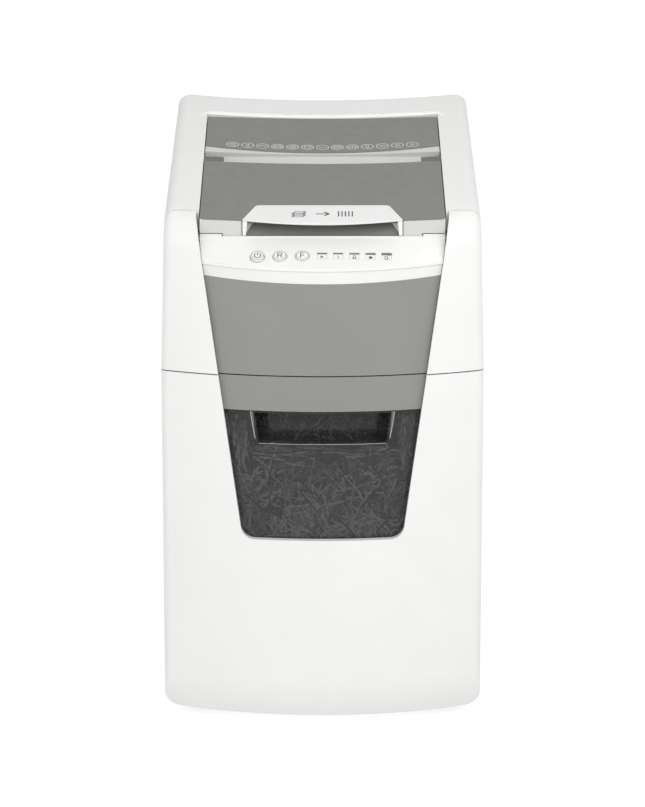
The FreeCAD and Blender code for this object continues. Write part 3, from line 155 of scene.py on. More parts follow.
def smoked(name, colour, alpha, roughness=0.07):
    """Smoked clear plastic, with a faint moulding ripple."""
    material, tree, bsdf = new_material(name)
    bsdf.inputs["Alpha"].default_value = alpha
    haze = remap(tree, noise_value(tree, 30 * MM, 3), 0, 1)
    tree.links.new(blend_colours(tree, haze, shade(colour, 0.85), shade(colour, 1.15)),
                   bsdf.inputs["Base Color"])
    tree.links.new(remap(tree, noise_value(tree, 9 * MM, 3), roughness - 0.02, roughness + 0.03),
                   bsdf.inputs["Roughness"])
    add_bump(tree, bsdf, noise_value(tree, 25 * MM, 1), 0.02 * MM)
    return material


def circuit_board(name):
    """Green solder mask with copper runs showing through and pale pads."""
    material, tree, bsdf = new_material(name)
    coords = tree.nodes.new("ShaderNodeTexCoord").outputs["Object"]
    runs = tree.nodes.new("ShaderNodeTexBrick")
    runs.inputs["Scale"].default_value = 1 / (9 * MM)
    runs.inputs["Mortar Size"].default_value = 0.06
    runs.inputs["Color1"].default_value = (0.02, 0.16, 0.07, 1)
    runs.inputs["Color2"].default_value = (0.03, 0.2, 0.09, 1)
    runs.inputs["Mortar"].default_value = (0.09, 0.34, 0.14, 1)
    tree.links.new(coords, runs.inputs["Vector"])
    tree.links.new(runs.outputs["Color"], bsdf.inputs["Base Color"])
    tree.links.new(remap(tree, noise_value(tree, 6 * MM), 0.22, 0.38), bsdf.inputs["Roughness"])
    add_bump(tree, bsdf, runs.outputs["Fac"], 0.03 * MM)
    return material


def paper(name, blank, printed):
    """Office paper: matt, a little uneven, with the grey of printing here and there."""
    material, tree, bsdf = new_material(name)
    print_grey = remap(tree, noise_value(tree, 5 * MM, 5), 0, 1, 0.5, 0.72)
    tree.links.new(blend_colours(tree, print_grey, blank, printed), bsdf.inputs["Base Color"])
    tree.links.new(remap(tree, noise_value(tree, 3 * MM), 0.8, 0.95), bsdf.inputs["Roughness"])
    add_bump(tree, bsdf, noise_value(tree, 0.3 * MM, 3), 0.02 * MM)
    return material


def rubber(name, colour):
    material, tree, bsdf = new_material(name)
    bloom = remap(tree, noise_value(tree, 8 * MM, 4), 0, 1)
    tree.links.new(blend_colours(tree, bloom, shade(colour, 0.8), shade(colour, 1.5)),
                   bsdf.inputs["Base Color"])
    tree.links.new(remap(tree, bloom, 0.75, 0.92), bsdf.inputs["Roughness"])
    add_bump(tree, bsdf, noise_value(tree, 0.5 * MM, 3), 0.05 * MM)
    return material


def make_materials():
    """One material for each material slot of the record, and a few for the added pieces."""
    return {
        "white_shell": moulded("shell white", (0.70, 0.70, 0.692), 0.42, mottle=0.012, edge=0.6 * MM),
        "dark_grey_cover": moulded("cover grey", (0.162, 0.162, 0.151), 0.42),
        "mid_grey_panel": moulded("panel grey", (0.216, 0.217, 0.202), 0.42),
        "pale_grey_trim": moulded("trim pale grey", (0.53, 0.53, 0.512), 0.42),
        "charcoal_trim": moulded("trim charcoal", (0.11, 0.112, 0.105), 0.5),
        "button_face": moulded("button white", (0.70, 0.70, 0.692), 0.35, mottle=0.01, edge=0.3 * MM),
        "indicator_lens": moulded("lens smoked", (0.16, 0.165, 0.16), 0.2, depth=0.004 * MM, edge=0.2 * MM),
        "smoked_window": smoked("window smoked", (0.03, 0.03, 0.031), 0.5),
        "black_plastic": moulded("plastic black", (0.028, 0.028, 0.029), 0.5, depth=0.02 * MM, mottle=0.1),
        "bin_plastic": moulded("bin dark grey", (0.05, 0.05, 0.052), 0.55, depth=0.03 * MM, mottle=0.1),
        "zinc_steel": metal("steel zinc", (0.62, 0.63, 0.62), 0.34, patch=5 * MM),
        "cutter_steel": metal("steel ground", (0.42, 0.42, 0.43), 0.28, stretch=(1, 6, 6), patch=3 * MM),
        "bush_bronze": metal("bronze sintered", (0.55, 0.36, 0.19), 0.4, patch=1.2 * MM),
        "gear_nylon": moulded("nylon natural", (0.72, 0.69, 0.6), 0.45, mottle=0.04),
        "motor_paint": metal("motor can", (0.12, 0.12, 0.13), 0.4, patch=1.5 * MM, contrast=0.2),
        "board_green": circuit_board("board green"),
        "roller_rubber": rubber("rubber grey", (0.05, 0.05, 0.052)),
        "castor_nylon": moulded("castor black", (0.03, 0.03, 0.03), 0.5, mottle=0.12),
        "castor_tread": moulded("castor tread", (0.035, 0.035, 0.037), 0.4, mottle=0.2),
        "ink": moulded("ink grey", (0.075, 0.075, 0.073), 0.5, depth=0.004 * MM, edge=0),
        "ink_pale": moulded("ink pale", (0.42, 0.42, 0.41), 0.5, depth=0.004 * MM, edge=0),
        "ink_white": moulded("ink white", (0.62, 0.62, 0.60), 0.45, depth=0.004 * MM, edge=0),
        # the rim is paler than the shell white: a painted highlight along the frame's rear inner edge
        "rim_painted_highlight": moulded("rim white painted highlight", (0.82, 0.82, 0.812), 0.3, mottle=0.01, edge=0),
        # the half-shade and deep copies of the shred paper are darkened copies of it: painted shade
        "paper": paper("paper shreds", (0.84, 0.84, 0.79), (0.45, 0.45, 0.45)),
        "paper_half_shade": paper("paper shreds half shaded", (0.45, 0.45, 0.42), (0.22, 0.22, 0.22)),
        "paper_painted_shade": paper("paper in the heap painted shade", (0.20, 0.20, 0.185), (0.09, 0.09, 0.09)),
        # pale colour for the pocket's edge slivers and lip bead: a painted highlight
        "pocket_painted_highlight": moulded("pocket painted highlight", (0.36, 0.36, 0.30), 0.3, depth=0.004 * MM, edge=0),
    }


def dress_cad(materials):
    """Gives each CAD node the better material for its slot."""
    for node in nodes.values():
        for place in node.material_slots:
            place.material = materials[place.material.name]
    for place in nodes["grip_pocket"].material_slots:
        place.material = materials["smoked_window"]


# ---------------------------------------------------------------- printed symbols
def circle(radius, centre=(0, 0), start=0, turn=360, steps=36):
    """Points round a circle, angles in degrees from straight up, clockwise."""
    points = []
    for i in range(steps + (turn < 360)):
        angle = math.radians(start + turn * i / steps)
        points.append((centre[0] + radius * math.sin(angle), centre[1] + radius * math.cos(angle)))
    return points


def rectangle(x0, y0, x1, y1):
    return [(x0, y0), (x1, y0), (x1, y1), (x0, y1)]


def line(*points):
    return ("line", list(points))


def loop(points):
    return ("loop", list(points))


def solid(points):
    return ("solid", list(points))


def split_long(points, closed, longest=3.0):
    """The same pen line with no step longer than this, so that it can follow a bowed surface."""
    ends = points[1:] + points[:1] if closed else points[1:]
    split = []
    for (x0, y0), (x1, y1) in zip(points, ends):
        parts = max(1, math.ceil(math.hypot(x1 - x0, y1 - y0) / longest))
        split += [(x0 + (x1 - x0) * i / parts, y0 + (y1 - y0) * i / parts) for i in range(parts)]
    return split if closed else split + points[-1:]


def ribbon_sides(points, closed, width):
    """The left and right edge of a pen line of this width, mitred at its corners."""
    count = len(points)
    sides = []
    for i, point in enumerate(points):
        here = Vector(point)
        before = Vector(points[i - 1]) if closed or i else here
        after = Vector(points[(i + 1) % count]) if closed or i < count - 1 else here
        first = (here - before).normalized()
        second = (after - here).normalized()
        tangent = (first + second).normalized()
        across = Vector((-tangent.y, tangent.x))
        cosine = abs(across.dot(Vector((-second.y, second.x)))) if second.length else 1.0
        reach = width / 2 / max(cosine, 0.5)
        sides.append((here + across * reach, here - across * reach))
    return sides


class Print:
    """Symbols laid on a CAD surface as a film of ink, a twentieth of a millimetre proud."""

    PROUD = 0.05 * MM
    ROOT = 0.06 * MM

    def __init__(self, name, origin, up, normal, target):
        self.name = name
        self.origin = origin
        self.up = up
        self.normal = normal
        self.target = target
        self.mesh = bmesh.new()

    def on_surface(self, point):
        start = self.origin + (RIGHT * point[0] + self.up * point[1]) * MM + self.normal * CAST_FROM
        hit, place, _, _ = nodes[self.target].ray_cast(start, -self.normal, distance=CAST_REACH)
        if not hit:
            raise ValueError(f"{self.name}: nothing under {point}")
        return place

    def film(self, outline):
        """A closed film over one outline, in order round it."""
        places = [self.on_surface(p) for p in outline]
        top = [self.mesh.verts.new(p + self.normal * self.PROUD) for p in places]
        bottom = [self.mesh.verts.new(p - self.normal * self.ROOT) for p in places]
        self.mesh.faces.new(top)
        self.mesh.faces.new(bottom[::-1])
        for i in range(len(top)):
            j = (i + 1) % len(top)
            self.mesh.faces.new((top[i], bottom[i], bottom[j], top[j]))

    def band(self, points, closed, width):
        """A closed film along one pen line."""
        rows = []
        for left, right in ribbon_sides(split_long(points, closed), closed, width):
            a, b = self.on_surface(left), self.on_surface(right)
            lift, root = self.normal * self.PROUD, self.normal * self.ROOT
            rows.append([self.mesh.verts.new(p) for p in (a + lift, b + lift, b - root, a - root)])
        pairs = list(zip(rows, rows[1:] + rows[:1])) if closed else list(zip(rows, rows[1:]))
        for row, following in pairs:
            for k in range(4):
                m = (k + 1) % 4
                self.mesh.faces.new((row[k], row[m], following[m], following[k]))
        if not closed:
            self.mesh.faces.new(rows[0][::-1])
            self.mesh.faces.new(rows[-1])

    def draw(self, strokes, centre=(0, 0), width=0.6, scale=1.0):
        for kind, points in strokes:
            moved = [(centre[0] + x * scale, centre[1] + y * scale) for x, y in points]
            if kind == "solid":
                self.film(moved)
            else:
                self.band(moved, kind == "loop", width)

    def finish(self, body, material):
        bmesh.ops.recalc_face_normals(self.mesh, faces=self.mesh.faces)
        return make_piece(self.name, self.mesh, body, material)


def make_piece(name, mesh, body, material, smooth=False, more_materials=()):
    """Turns a bmesh into a piece that rides on a body."""
    data = bpy.data.meshes.new(name)
    mesh.to_mesh(data)
    mesh.free()
    for each in (material, *more_materials):
        data.materials.append(each)
    if smooth:
        data.shade_smooth()
    piece = bpy.data.objects.new(name, data)
    bpy.context.scene.collection.objects.link(piece)
    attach(piece, body)
    return piece


SHEET = [loop(rectangle(-2.2, -3, 2.2, 3)), line((-1.1, 1.4), (1.1, 1.4)), line((-1.1, 0), (1.1, 0))]
CLIP = [line((1, -2.4), (1, 2), (0.4, 2.7), (-0.4, 2.7), (-1, 2), (-1, -2.6), (-0.2, -3.2), (0.6, -2.9))]
STAPLE = [line((-2.4, -1.6), (-2.4, 1.4), (2.4, 1.4), (2.4, -1.6))]
DISC = [loop(circle(3.1, steps=20)), loop(circle(1, steps=12))]
CARD = [loop(rectangle(-3.2, -2.2, 3.2, 2.2)), line((-2.8, 0.7), (2.8, 0.7))]
FOLDER = [loop([(-3, -2.2), (3, -2.2), (3, 1.6), (-0.4, 1.6), (-1.2, 2.6), (-3, 2.6)])]
ENVELOPE = [loop(rectangle(-3.1, -2.1, 3.1, 2.1)), line((-2.9, 1.9), (0, -0.2), (2.9, 1.9))]
CRUMPLE = [line((-3, -1.6), (-1.6, 1.8), (-0.4, -1.4), (1, 1.9), (2.2, -1.2), (3, 1))]
WAVE = [line((-3, -0.6), (-2, 0.9), (-0.9, 0.3), (0, -0.9), (1.1, -0.6), (2, 0.8), (3, 0.4))]
DIAMOND = [loop([(0, -3.2), (1.5, -0.2), (0.7, 3), (-0.7, 3), (-1.5, -0.2)])]
BOOK = [loop([(-3, -2.2), (0, -1.5), (3, -2.2), (3, 1.9), (0, 2.5), (-3, 1.9)]), line((0, -1.5), (0, 2.5))]
DROP = [loop([(0, 3.1), (1.9, 0), (1.6, -1.7), (0, -2.7), (-1.6, -1.7), (-1.9, 0)])]
CROSS = [line((-2, -2), (2, 2)), line((-2, 2), (2, -2))]
PICTOGRAMS = [SHEET, CLIP, STAPLE, CARD, DISC, FOLDER, WAVE, ENVELOPE, BOOK, DIAMOND, CRUMPLE, DROP, CROSS]
PICTOGRAM_PITCH = 16.6
PICTOGRAM_RING = 6.6
PICTOGRAM_BOW = 2900.0       # twice the radius that the row bows to
PICTOGRAM_ALONG = 204.5      # from the lid's front edge
LEVER_SYMBOL_ALONG = 11.5


def print_pictograms(materials):
    """The row of ringed symbols across the slot cover."""
    origin = LID_FRONT + ALONG_DECK * PICTOGRAM_ALONG * MM
    row = Print("slot_pictograms", origin, ALONG_DECK, DECK_NORMAL, "slot_cover")
    for i, symbol in enumerate(PICTOGRAMS):
        x = (i - (len(PICTOGRAMS) - 1) / 2) * PICTOGRAM_PITCH
        place = (x, x * x / PICTOGRAM_BOW)
        row.draw([loop(circle(PICTOGRAM_RING))], place, width=0.75)
        row.draw(symbol, place, width=0.65, scale=1.2)
    return row.finish("lid", materials["ink_white"])


def print_lever_symbol(materials):
    """On the lever: a stack of sheets, an arrow and cut strips."""
    origin = LID_FRONT + ALONG_DECK * LEVER_SYMBOL_ALONG * MM
    mark = Print("lever_symbol", origin, ALONG_DECK, DECK_NORMAL, "lid_lever")
    for rise in (-4.5, 0, 4.5):
        mark.draw([loop([(-7, -3.5), (4, -3.5), (7, 1.5), (-4, 1.5)])], (-25, rise + 1), width=1.3)
    mark.draw([line((-7, 0), (6, 0)), line((2, 5), (6.8, 0), (2, -5))], (0, 1), width=2.0)
    for i in range(5):
        mark.draw([line((0, -7), (0, 7))], (17 + i * 3.6, 1), width=1.4)
    return mark.finish("lever", materials["ink"])


def shelf_frame():
    """The middle of the button row, the way up the shelf, and the way out of it."""
    normal = Vector(joints["power_press"]["axis"]).normalized()
    up = Vector((0, normal.z, -normal.y))
    low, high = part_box("power_button")
    middle = Vector((0, low.y + BUTTON_R * normal.z, high.z + BUTTON_R * normal.y))
    return middle, up, normal


POWER = [line(*circle(2.6, start=35, turn=290, steps=24)), line((0, 0.2), (0, 3.4))]
LETTER_R = [line((-1.7, -2.7), (-1.7, 2.7), (0.7, 2.7), (1.6, 2.1),
                 (1.75, 1.2), (1.4, 0.4), (0.6, 0), (-1.5, 0)),
            line((0.3, 0), (1.9, -2.7))]
LETTER_F = [line((-1.3, -2.7), (-1.3, 2.7), (1.8, 2.7)), line((-1.1, 0.1), (1.3, 0.1))]
BUTTONS = (("power_button", "power_key", POWER), ("reverse_button", "reverse_key", LETTER_R),
           ("forward_button", "forward_key", LETTER_F))


def print_buttons(materials):
    """A ringed sign on each of the three buttons."""
    middle, up, normal = shelf_frame()
    for node, body, symbol in BUTTONS:
        low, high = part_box(node)
        centre = Vector(((low.x + high.x) / 2, middle.y, middle.z))
        mark = Print(node + "_symbol", centre, up, normal, node)
        mark.draw(symbol, width=0.95, scale=1.3)
        mark.draw([loop(circle(6.2))], width=0.5)
        mark.finish(body, materials["ink"])


INDICATOR_SYMBOLS = [
    [solid([(-1.4, -1.5), (1.7, 0), (-1.4, 1.5)])],
    [line((0, -1.7), (0, 1.7))],
    [line((-1.9, -1.6), (1.9, -1.6)), loop(rectangle(-1.2, -0.9, 1.2, 1.6))],
    [solid([(-1.5, -1.5), (1.5, -1.5), (1.7, 0.4), (0, 1.7), (-1.7, 0.4)])],
    [loop(rectangle(-1.6, -1.6, 0.6, 1.6)), line((0.9, 0), (2.1, 0))],
]
INDICATOR_XS = (-0.4, 16.4, 33.4, 50.4, 67.2)


def print_indicators(materials):
    """Under each light, a pale box with a small symbol."""
    middle, up, normal = shelf_frame()
    boxes = Print("indicator_boxes", middle, up, normal, "control_panel")
    symbols = Print("indicator_symbols", middle, up, normal, "control_panel")
    for x, symbol in zip(INDICATOR_XS, INDICATOR_SYMBOLS):
        boxes.draw([line((-5, 1.9), (-5, -4.4), (5, -4.4), (5, 1.9))], (x, 0), width=0.4)
        symbols.draw(symbol, (x, -1.4), width=0.7, scale=1.15)
    boxes.finish("case", materials["ink_pale"])
    symbols.finish("case", materials["ink"])


# ---------------------------------------------------------------- small pieces
SWITCH_X = 70.0
INLET_X = 110.0
INLET_Z = 105.0
REAR_Y = 200.5
PIN_PLACES = ((-7, -2), (7, -2), (0, 2))
PIN_SIZE = Vector((2.16, 13.2, 4.16)) * MM
PIN_DEPTH = 9.5
PANE_FRONT = 8.0             # the window and the pocket's edge lie this far behind the white front
POCKET_HALF_LOW = 69.5
POCKET_HALF_HIGH = 74.5
POCKET_FLOOR_Z = 312.0
POCKET_REAR = 41.0
POCKET_LIP_R = 0.28 * MM
# each side wall's pale sliver, a painted highlight, from its foot to its top: height, outer and inner x
POCKET_SIDE_EDGE = ((318.0, 71.6, 71.0), (326.0, 73.2, 71.8), (336.0, 75.0, 72.6), (347.2, 76.6, 73.3))
RIM_X = 135.6                # the rim's middle line, to the side and along the deck
RIM_REAR = 295.4
RIM_CORNER = 12.0
RIM_WIDE = 4.7 * MM
RIM_HIGH = 1.05 * MM
RIM_PROUD = 0.2 * MM


def bowed_y(x, behind):
    """Where the bowed front is at this x, this far behind the white surface, in millimetres."""
    return BOW_AXIS_Y / MM - math.sqrt((BOW_R / MM - behind) ** 2 - x * x)


def print_rocker(materials):
    """The on and off marks of the mains switch."""
    mark = Print("rocker_marks", Vector((SWITCH_X, REAR_Y, INLET_Z)) * MM, UP, BACK, "mains_rocker")
    mark.draw([line((0, 3.2), (0, 6.4))], width=0.8)
    mark.draw([loop(circle(1.6, (0, -4.6), steps=20))], width=0.7)
    return mark.finish("rocker", materials["ink_white"])


def make_inlet_pins(materials):
    """Bright sleeves over the three pins of the mains inlet."""
    mesh = bmesh.new()
    size = Matrix.Diagonal(PIN_SIZE).to_4x4()
    for dx, dz in PIN_PLACES:
        place = Matrix.Translation(Vector((INLET_X + dx, REAR_Y - PIN_DEPTH, INLET_Z + dz)) * MM)
        bmesh.ops.create_cube(mesh, size=1, matrix=place @ size)
    return make_piece("inlet_pins", mesh, "case", materials["zinc_steel"])


def close_rows(mesh, rows):
    """Joins rings of vertices into one closed bar, and gives back its faces."""
    count = len(rows[0])
    faces = [mesh.faces.new(rows[0][::-1]), mesh.faces.new(rows[-1])]
    for row, following in zip(rows, rows[1:]):
        for k in range(count):
            m = (k + 1) % count
            faces.append(mesh.faces.new((row[k], row[m], following[m], following[k])))
    return faces


def add_bar(mesh, points, wide, high, up, sides=8, swell=None):
    """A closed bar of oval section along these points, in metres, as full as swell says at each."""
    rows = []
    for i, point in enumerate(points):
        tangent = (points[min(i + 1, len(points) - 1)] - points[max(i - 1, 0)]).normalized()
        full = swell[i] if swell else 1
        out = tangent.cross(up).normalized() * full
        rows.append([mesh.verts.new(point + out * math.cos(a) * wide + up * math.sin(a) * high * full)
                     for a in (2 * math.pi * k / sides for k in range(sides))])
    close_rows(mesh, rows)


def make_frame_rim(materials):
    """The low rolled rim on the frame, along the back of the lid's opening, fading round its corners; its
    paler white than the shell is a painted highlight.
    """
    corner = [((RIM_CORNER - RIM_X) - RIM_CORNER * math.cos(a), RIM_REAR - RIM_CORNER * (1 - math.sin(a)))
              for a in (math.pi / 2 * i / 10 for i in range(11))]
    half = corner + [((RIM_CORNER - RIM_X) * (1 - i / 40), RIM_REAR) for i in range(1, 41)]
    path = half + [(-x, along) for x, along in half[-2::-1]]
    on_plane = [LID_FRONT + (RIGHT * x + ALONG_DECK * along) * MM for x, along in path]
    heights = []
    for point in on_plane:
        start = point + DECK_NORMAL * CAST_FROM
        _, place, _, _ = nodes["top_frame"].ray_cast(start, -DECK_NORMAL, distance=CAST_REACH)
        heights.append((place - point).dot(DECK_NORMAL))
    points = []
    for i, point in enumerate(on_plane):
        near = heights[max(0, i - 4):i + 5]
        points.append(point + DECK_NORMAL * (sum(near) / len(near) + RIM_PROUD))
    swell = [min(1, 0.15 + min(i, len(path) - 1 - i) / 14) for i in range(len(path))]
    mesh = bmesh.new()
    add_bar(mesh, points, RIM_WIDE, RIM_HIGH, DECK_NORMAL, sides=16, swell=swell)
    bmesh.ops.recalc_face_normals(mesh, faces=mesh.faces)
    return make_piece("frame_rim", mesh, "case", materials["rim_painted_highlight"], smooth=True)


def make_pocket_edges(materials):
    """Pale slivers and a bead on the clear finger pocket's lip and its two side walls: painted highlights
    where those edges catch the light.
    """
    mesh = bmesh.new()
    steps = 40
    lip = []
    for i in range(steps + 1):
        x = (i / steps * 2 - 1) * (POCKET_HALF_LOW - 2)
        lip.append(Vector((x, bowed_y(x, PANE_FRONT - 0.2), POCKET_FLOOR_Z + 0.9)) * MM)
    add_bar(mesh, lip, POCKET_LIP_R, POCKET_LIP_R, UP)
    for side in (-1, 1):
        rows = []
        for z, outer, inner in POCKET_SIDE_EDGE:
            front, back = bowed_y(outer, PANE_FRONT - 0.15), bowed_y(outer, PANE_FRONT + 0.3)
            ring = ((outer, front), (inner, front), (inner, back), (outer, back))
            rows.append([mesh.verts.new(Vector((side * x, y, z)) * MM) for x, y in ring])
        close_rows(mesh, rows)
    bmesh.ops.recalc_face_normals(mesh, faces=mesh.faces)
    return make_piece("pocket_edges", mesh, "drawer", materials["pocket_painted_highlight"])


# ---------------------------------------------------------------- the bin's contents
TUB_INSIDE_X = 142.5
TUB_REAR_Y = 168.5
TUB_FLOOR_Z = 63.0
HEAP_FRONT = 18.0            # the heap's front lies this far behind the white front
HEAP_TOP = 336.0
HEAP_LUMP = 7.0
HEAP_FALL = 0.05             # how much lower it gets per millimetre towards the back
SHRED_TOP = 343.0            # loose strips lie below about this height
WINDOW_HALF = 103.0
WINDOW_LOW_Z = 192.0
PANE_BACK = 13.2             # strips stay at least this far behind the white front
LIT_BELOW_Z = 300.0          # strips turn paler below this height, over this much: painted light
LIT_FADE = 80.0


def near_pocket(x, y):
    """Whether this place is under or in the finger pocket, with room to spare."""
    return abs(x) < POCKET_HALF_HIGH + 5 and y < bowed_y(min(abs(x), POCKET_HALF_HIGH), POCKET_REAR + 3)


def heap_top(x, y):
    """The height of the shreds: a lumpy heap, kept under the finger pocket."""
    lump = noise.fractal(Vector((x, y, 0)) * 0.022, 1.0, 2.0, 3)
    top = HEAP_TOP + HEAP_LUMP * max(-1, min(0.6, lump)) - HEAP_FALL * (y + 180)
    return min(top, POCKET_FLOOR_Z - 5) if near_pocket(x, y) else top


def make_heap(materials):
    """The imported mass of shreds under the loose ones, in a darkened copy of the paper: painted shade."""
    mesh = bmesh.new()
    bmesh.ops.create_cube(mesh, size=1)
    bmesh.ops.subdivide_edges(mesh, edges=mesh.edges[:], cuts=44, use_grid_fill=True)
    for vert in mesh.verts:
        across, deep, high = (c + 0.5 for c in vert.co)
        x = (across * 2 - 1) * (TUB_INSIDE_X - 3)
        front = bowed_y(x, HEAP_FRONT)
        y = front + deep * (TUB_REAR_Y - 3 - front)
        z = TUB_FLOOR_Z + 1 + high * (heap_top(x, y) - 6 - TUB_FLOOR_Z)
        ripple = 2.2 * noise.noise(Vector((x, y, z)) * 0.16)
        inward = Vector((-x, 0, 0)) if across in (0, 1) else Vector((0, -y, 0))
        vert.co = (Vector((x, y, z)) + inward.normalized() * abs(ripple)) * MM
    # the heap's dark paper is painted shade
    return make_piece("shred_heap", mesh, "drawer", materials["paper_painted_shade"], smooth=True)


def add_shred(mesh, centre, direction, normal, length, width, curl):
    """One cut strip: a thin curved ribbon with a real thickness, in one of three copies of the paper, the
    two darker ones painted shade.
    """
    steps = 4
    side = direction.cross(normal).normalized()
    rows = []
    for i in range(steps + 1):
        t = i / steps - 0.5
        bend = curl * (t * t - 0.1)
        middle = centre + direction * (t * length) + normal * bend * length
        edge = side * (width / 2)
        skin = normal * 0.06
        corners = (middle + edge + skin, middle - edge + skin, middle - edge - skin, middle + edge - skin)
        rows.append([mesh.verts.new(p * MM) for p in corners])
    # strips lower down get the pale paper more often and the darker copies less: painted light
    lit = max(0, min(1, (LIT_BELOW_Z - centre.z) / LIT_FADE))
    paper_shade = rng.choices((0, 1, 2), (2 + 5 * lit, 4, 5 - 2 * lit))[0]
    for face in close_rows(mesh, rows):
        face.material_index = paper_shade


def lay_shred(mesh, centre, normal, angle, across, away, length, width, curl):
    """One strip lying on a surface with this normal, turned by the angle from across towards away."""
    heading = across * math.cos(angle) + away * math.sin(angle)
    direction = (heading - normal * heading.dot(normal)).normalized()
    add_shred(mesh, centre, direction, normal, length, width, curl)


def upright_shred(mesh, x, z, behind, angle, length):
    """A strip pressed against an upright bowed surface, this far behind the white front."""
    y = bowed_y(x, behind)
    outward = Vector((x, y - BOW_AXIS_Y / MM, 0)).normalized()
    normal = (outward + Vector((rng.gauss(0, 0.04), 0, rng.gauss(0, 0.04)))).normalized()
    lay_shred(mesh, Vector((x, y, z)), normal, angle, RIGHT, UP, length,
              rng.uniform(1.2, 2.4), rng.uniform(-0.05, 0.03))


def shreds_behind_window(mesh):
    """The many strips pressed against the pane, lying every way."""
    for _ in range(900):
        x, z = rng.uniform(-WINDOW_HALF, WINDOW_HALF), rng.uniform(WINDOW_LOW_Z, POCKET_FLOOR_Z - 18)
        behind = PANE_BACK + rng.uniform(0, 4)
        upright_shred(mesh, x, z, behind, rng.uniform(0, math.pi), rng.uniform(20, 38))


def shreds_under_pocket(mesh):
    """Nearly level strips between those and the pocket's floor."""
    for _ in range(90):
        x, z = rng.uniform(-88, 88), rng.uniform(POCKET_FLOOR_Z - 18, POCKET_FLOOR_Z - 4)
        behind = PANE_BACK + rng.uniform(0, 3)
        upright_shred(mesh, x, z, behind, rng.gauss(0, 0.16), rng.uniform(14, 30))


def shreds_behind_pocket(mesh):
    """Strips seen through the pocket's back wall."""
    for _ in range(340):
        x, z = rng.uniform(-80, 80), rng.uniform(POCKET_FLOOR_Z - 4, SHRED_TOP - 12)
        behind = POCKET_REAR + 3 + rng.uniform(0, 3)
        upright_shred(mesh, x, z, behind, rng.uniform(0, math.pi), rng.uniform(16, 28))


def shreds_beside_pocket(mesh):
    """Steep strips between the pocket's sides and the window's."""
    for _ in range(260):
        x = rng.choice((-1, 1)) * rng.uniform(POCKET_HALF_HIGH + 7, 106)
        z = rng.uniform(POCKET_FLOOR_Z - 20, SHRED_TOP - 13)
        behind = PANE_BACK + rng.uniform(0, 3)
        upright_shred(mesh, x, z, behind, rng.gauss(math.pi / 2, 0.22), rng.uniform(16, 26))


def shreds_on_pocket_floor(mesh):
    """Strips lying flat right under the pocket's clear floor."""
    for _ in range(220):
        x = rng.uniform(-66, 66)
        y = bowed_y(x, rng.uniform(16, POCKET_REAR - 4))
        centre = Vector((x, y, POCKET_FLOOR_Z - 2.2 - rng.uniform(0, 1.5)))
        lay_shred(mesh, centre, UP, rng.gauss(0, 0.35), RIGHT, BACK,
                  rng.uniform(12, 26), rng.uniform(1.2, 2.4), rng.uniform(-0.03, 0))


def shreds_on_heap(mesh):
    """The loose top layer, seen when the bin is out."""
    for _ in range(1700):
        x = rng.uniform(-1, 1) * (TUB_INSIDE_X - 16)
        y = rng.uniform(bowed_y(x, POCKET_REAR + 20), TUB_REAR_Y - 18)
        centre = Vector((x, y, min(heap_top(x, y), SHRED_TOP - 6) + rng.uniform(-5, 1.5)))
        normal = Vector((rng.gauss(0, 0.2), rng.gauss(0, 0.2), 1)).normalized()
        lay_shred(mesh, centre, normal, rng.uniform(0, math.pi), RIGHT, BACK,
                  rng.uniform(18, 32), rng.uniform(1.8, 3.0), rng.uniform(-0.2, 0.2))


def make_shreds(materials):
    """Loose cross-cut strips behind the window, round the finger pocket and over the heap."""
    mesh = bmesh.new()
    shreds_behind_window(mesh)
    shreds_under_pocket(mesh)
    shreds_behind_pocket(mesh)
    shreds_beside_pocket(mesh)
    shreds_on_pocket_floor(mesh)
    shreds_on_heap(mesh)
    # the two darker paper copies are painted shade
    shades = (materials["paper_half_shade"], materials["paper_painted_shade"])
    return make_piece("shreds", mesh, "drawer", materials["paper"], more_materials=shades)


# ---------------------------------------------------------------- stage, light and camera
CAMERA_PLACE = (0, -3.478, 1.116)
CAMERA_PITCH = math.radians(13)          # below the horizon
CAMERA_LENS = 142.75
LIT_PLACE = (0, -0.1, 0.4)


def make_camera():
    """A long lens in front of the shredder, looking a little down."""
    data = bpy.data.cameras.new("camera")
    data.lens = CAMERA_LENS
    data.sensor_width = 36
    camera = bpy.data.objects.new("camera", data)
    camera.location = CAMERA_PLACE
    camera.rotation_euler = (math.pi / 2 - CAMERA_PITCH, 0, 0)
    bpy.context.scene.collection.objects.link(camera)
    bpy.context.scene.camera = camera


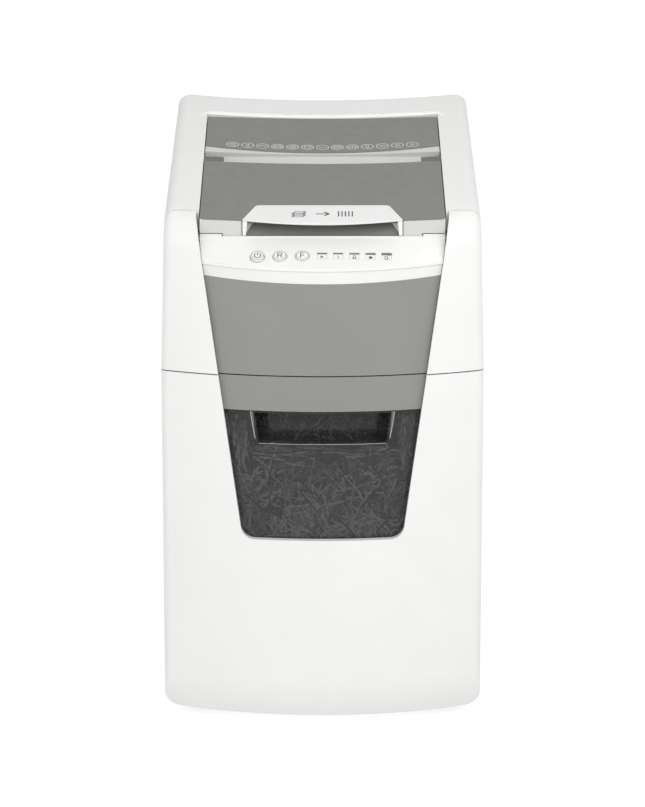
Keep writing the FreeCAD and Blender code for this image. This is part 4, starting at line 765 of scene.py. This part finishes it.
def make_floor():
    """A wide white floor that melts into the background."""
    mesh = bmesh.new()
    bmesh.ops.create_grid(mesh, x_segments=2, y_segments=2, size=20)
    data = bpy.data.meshes.new("floor")
    mesh.to_mesh(data)
    mesh.free()
    material, tree, bsdf = new_material("floor white")
    bsdf.inputs["Base Color"].default_value = (0.2, 0.2, 0.2, 1)
    bsdf.inputs["Roughness"].default_value = 0.9
    bsdf.inputs["Emission Color"].default_value = (1, 1, 1, 1)
    bsdf.inputs["Emission Strength"].default_value = 0.84
    data.materials.append(material)
    floor = bpy.data.objects.new("floor", data)
    bpy.context.scene.collection.objects.link(floor)
    return floor


def make_world():
    """A white studio, a little brighter overhead than at the horizon."""
    world = bpy.data.worlds.new("studio")
    world.use_nodes = True
    tree = world.node_tree
    split = tree.nodes.new("ShaderNodeSeparateXYZ")
    tree.links.new(tree.nodes.new("ShaderNodeTexCoord").outputs["Generated"], split.inputs["Vector"])
    glow = remap(tree, split.outputs["Z"], 0.67, 0.85, 0, 1)
    background = tree.nodes["Background"]
    background.inputs["Color"].default_value = (1, 1, 1, 1)
    tree.links.new(glow, background.inputs["Strength"])
    bpy.context.scene.world = world


def add_light(name, place, size, power):
    """A square soft box aimed at the middle of the shredder."""
    data = bpy.data.lights.new(name, "AREA")
    data.size = size
    data.energy = power
    light = bpy.data.objects.new(name, data)
    light.location = place
    light.rotation_euler = (Vector(LIT_PLACE) - Vector(place)).to_track_quat("-Z", "Y").to_euler()
    bpy.context.scene.collection.objects.link(light)


def make_lights():
    """A key from above the camera's right and a weaker fill from its left."""
    add_light("key", (0.55, -1.35, 1.5), size=1.2, power=15.5)
    add_light("fill", (-1.2, -1.9, 1.0), size=1.4, power=7.5)


make_camera()
make_world()
make_lights()
make_floor()
finishes = make_materials()
dress_cad(finishes)
print_pictograms(finishes)
print_lever_symbol(finishes)
print_buttons(finishes)
print_indicators(finishes)
print_rocker(finishes)
make_inlet_pins(finishes)
make_frame_rim(finishes)
make_pocket_edges(finishes)
make_heap(finishes)
make_shreds(finishes)
bpy.context.scene.view_settings.view_transform = "Standard"
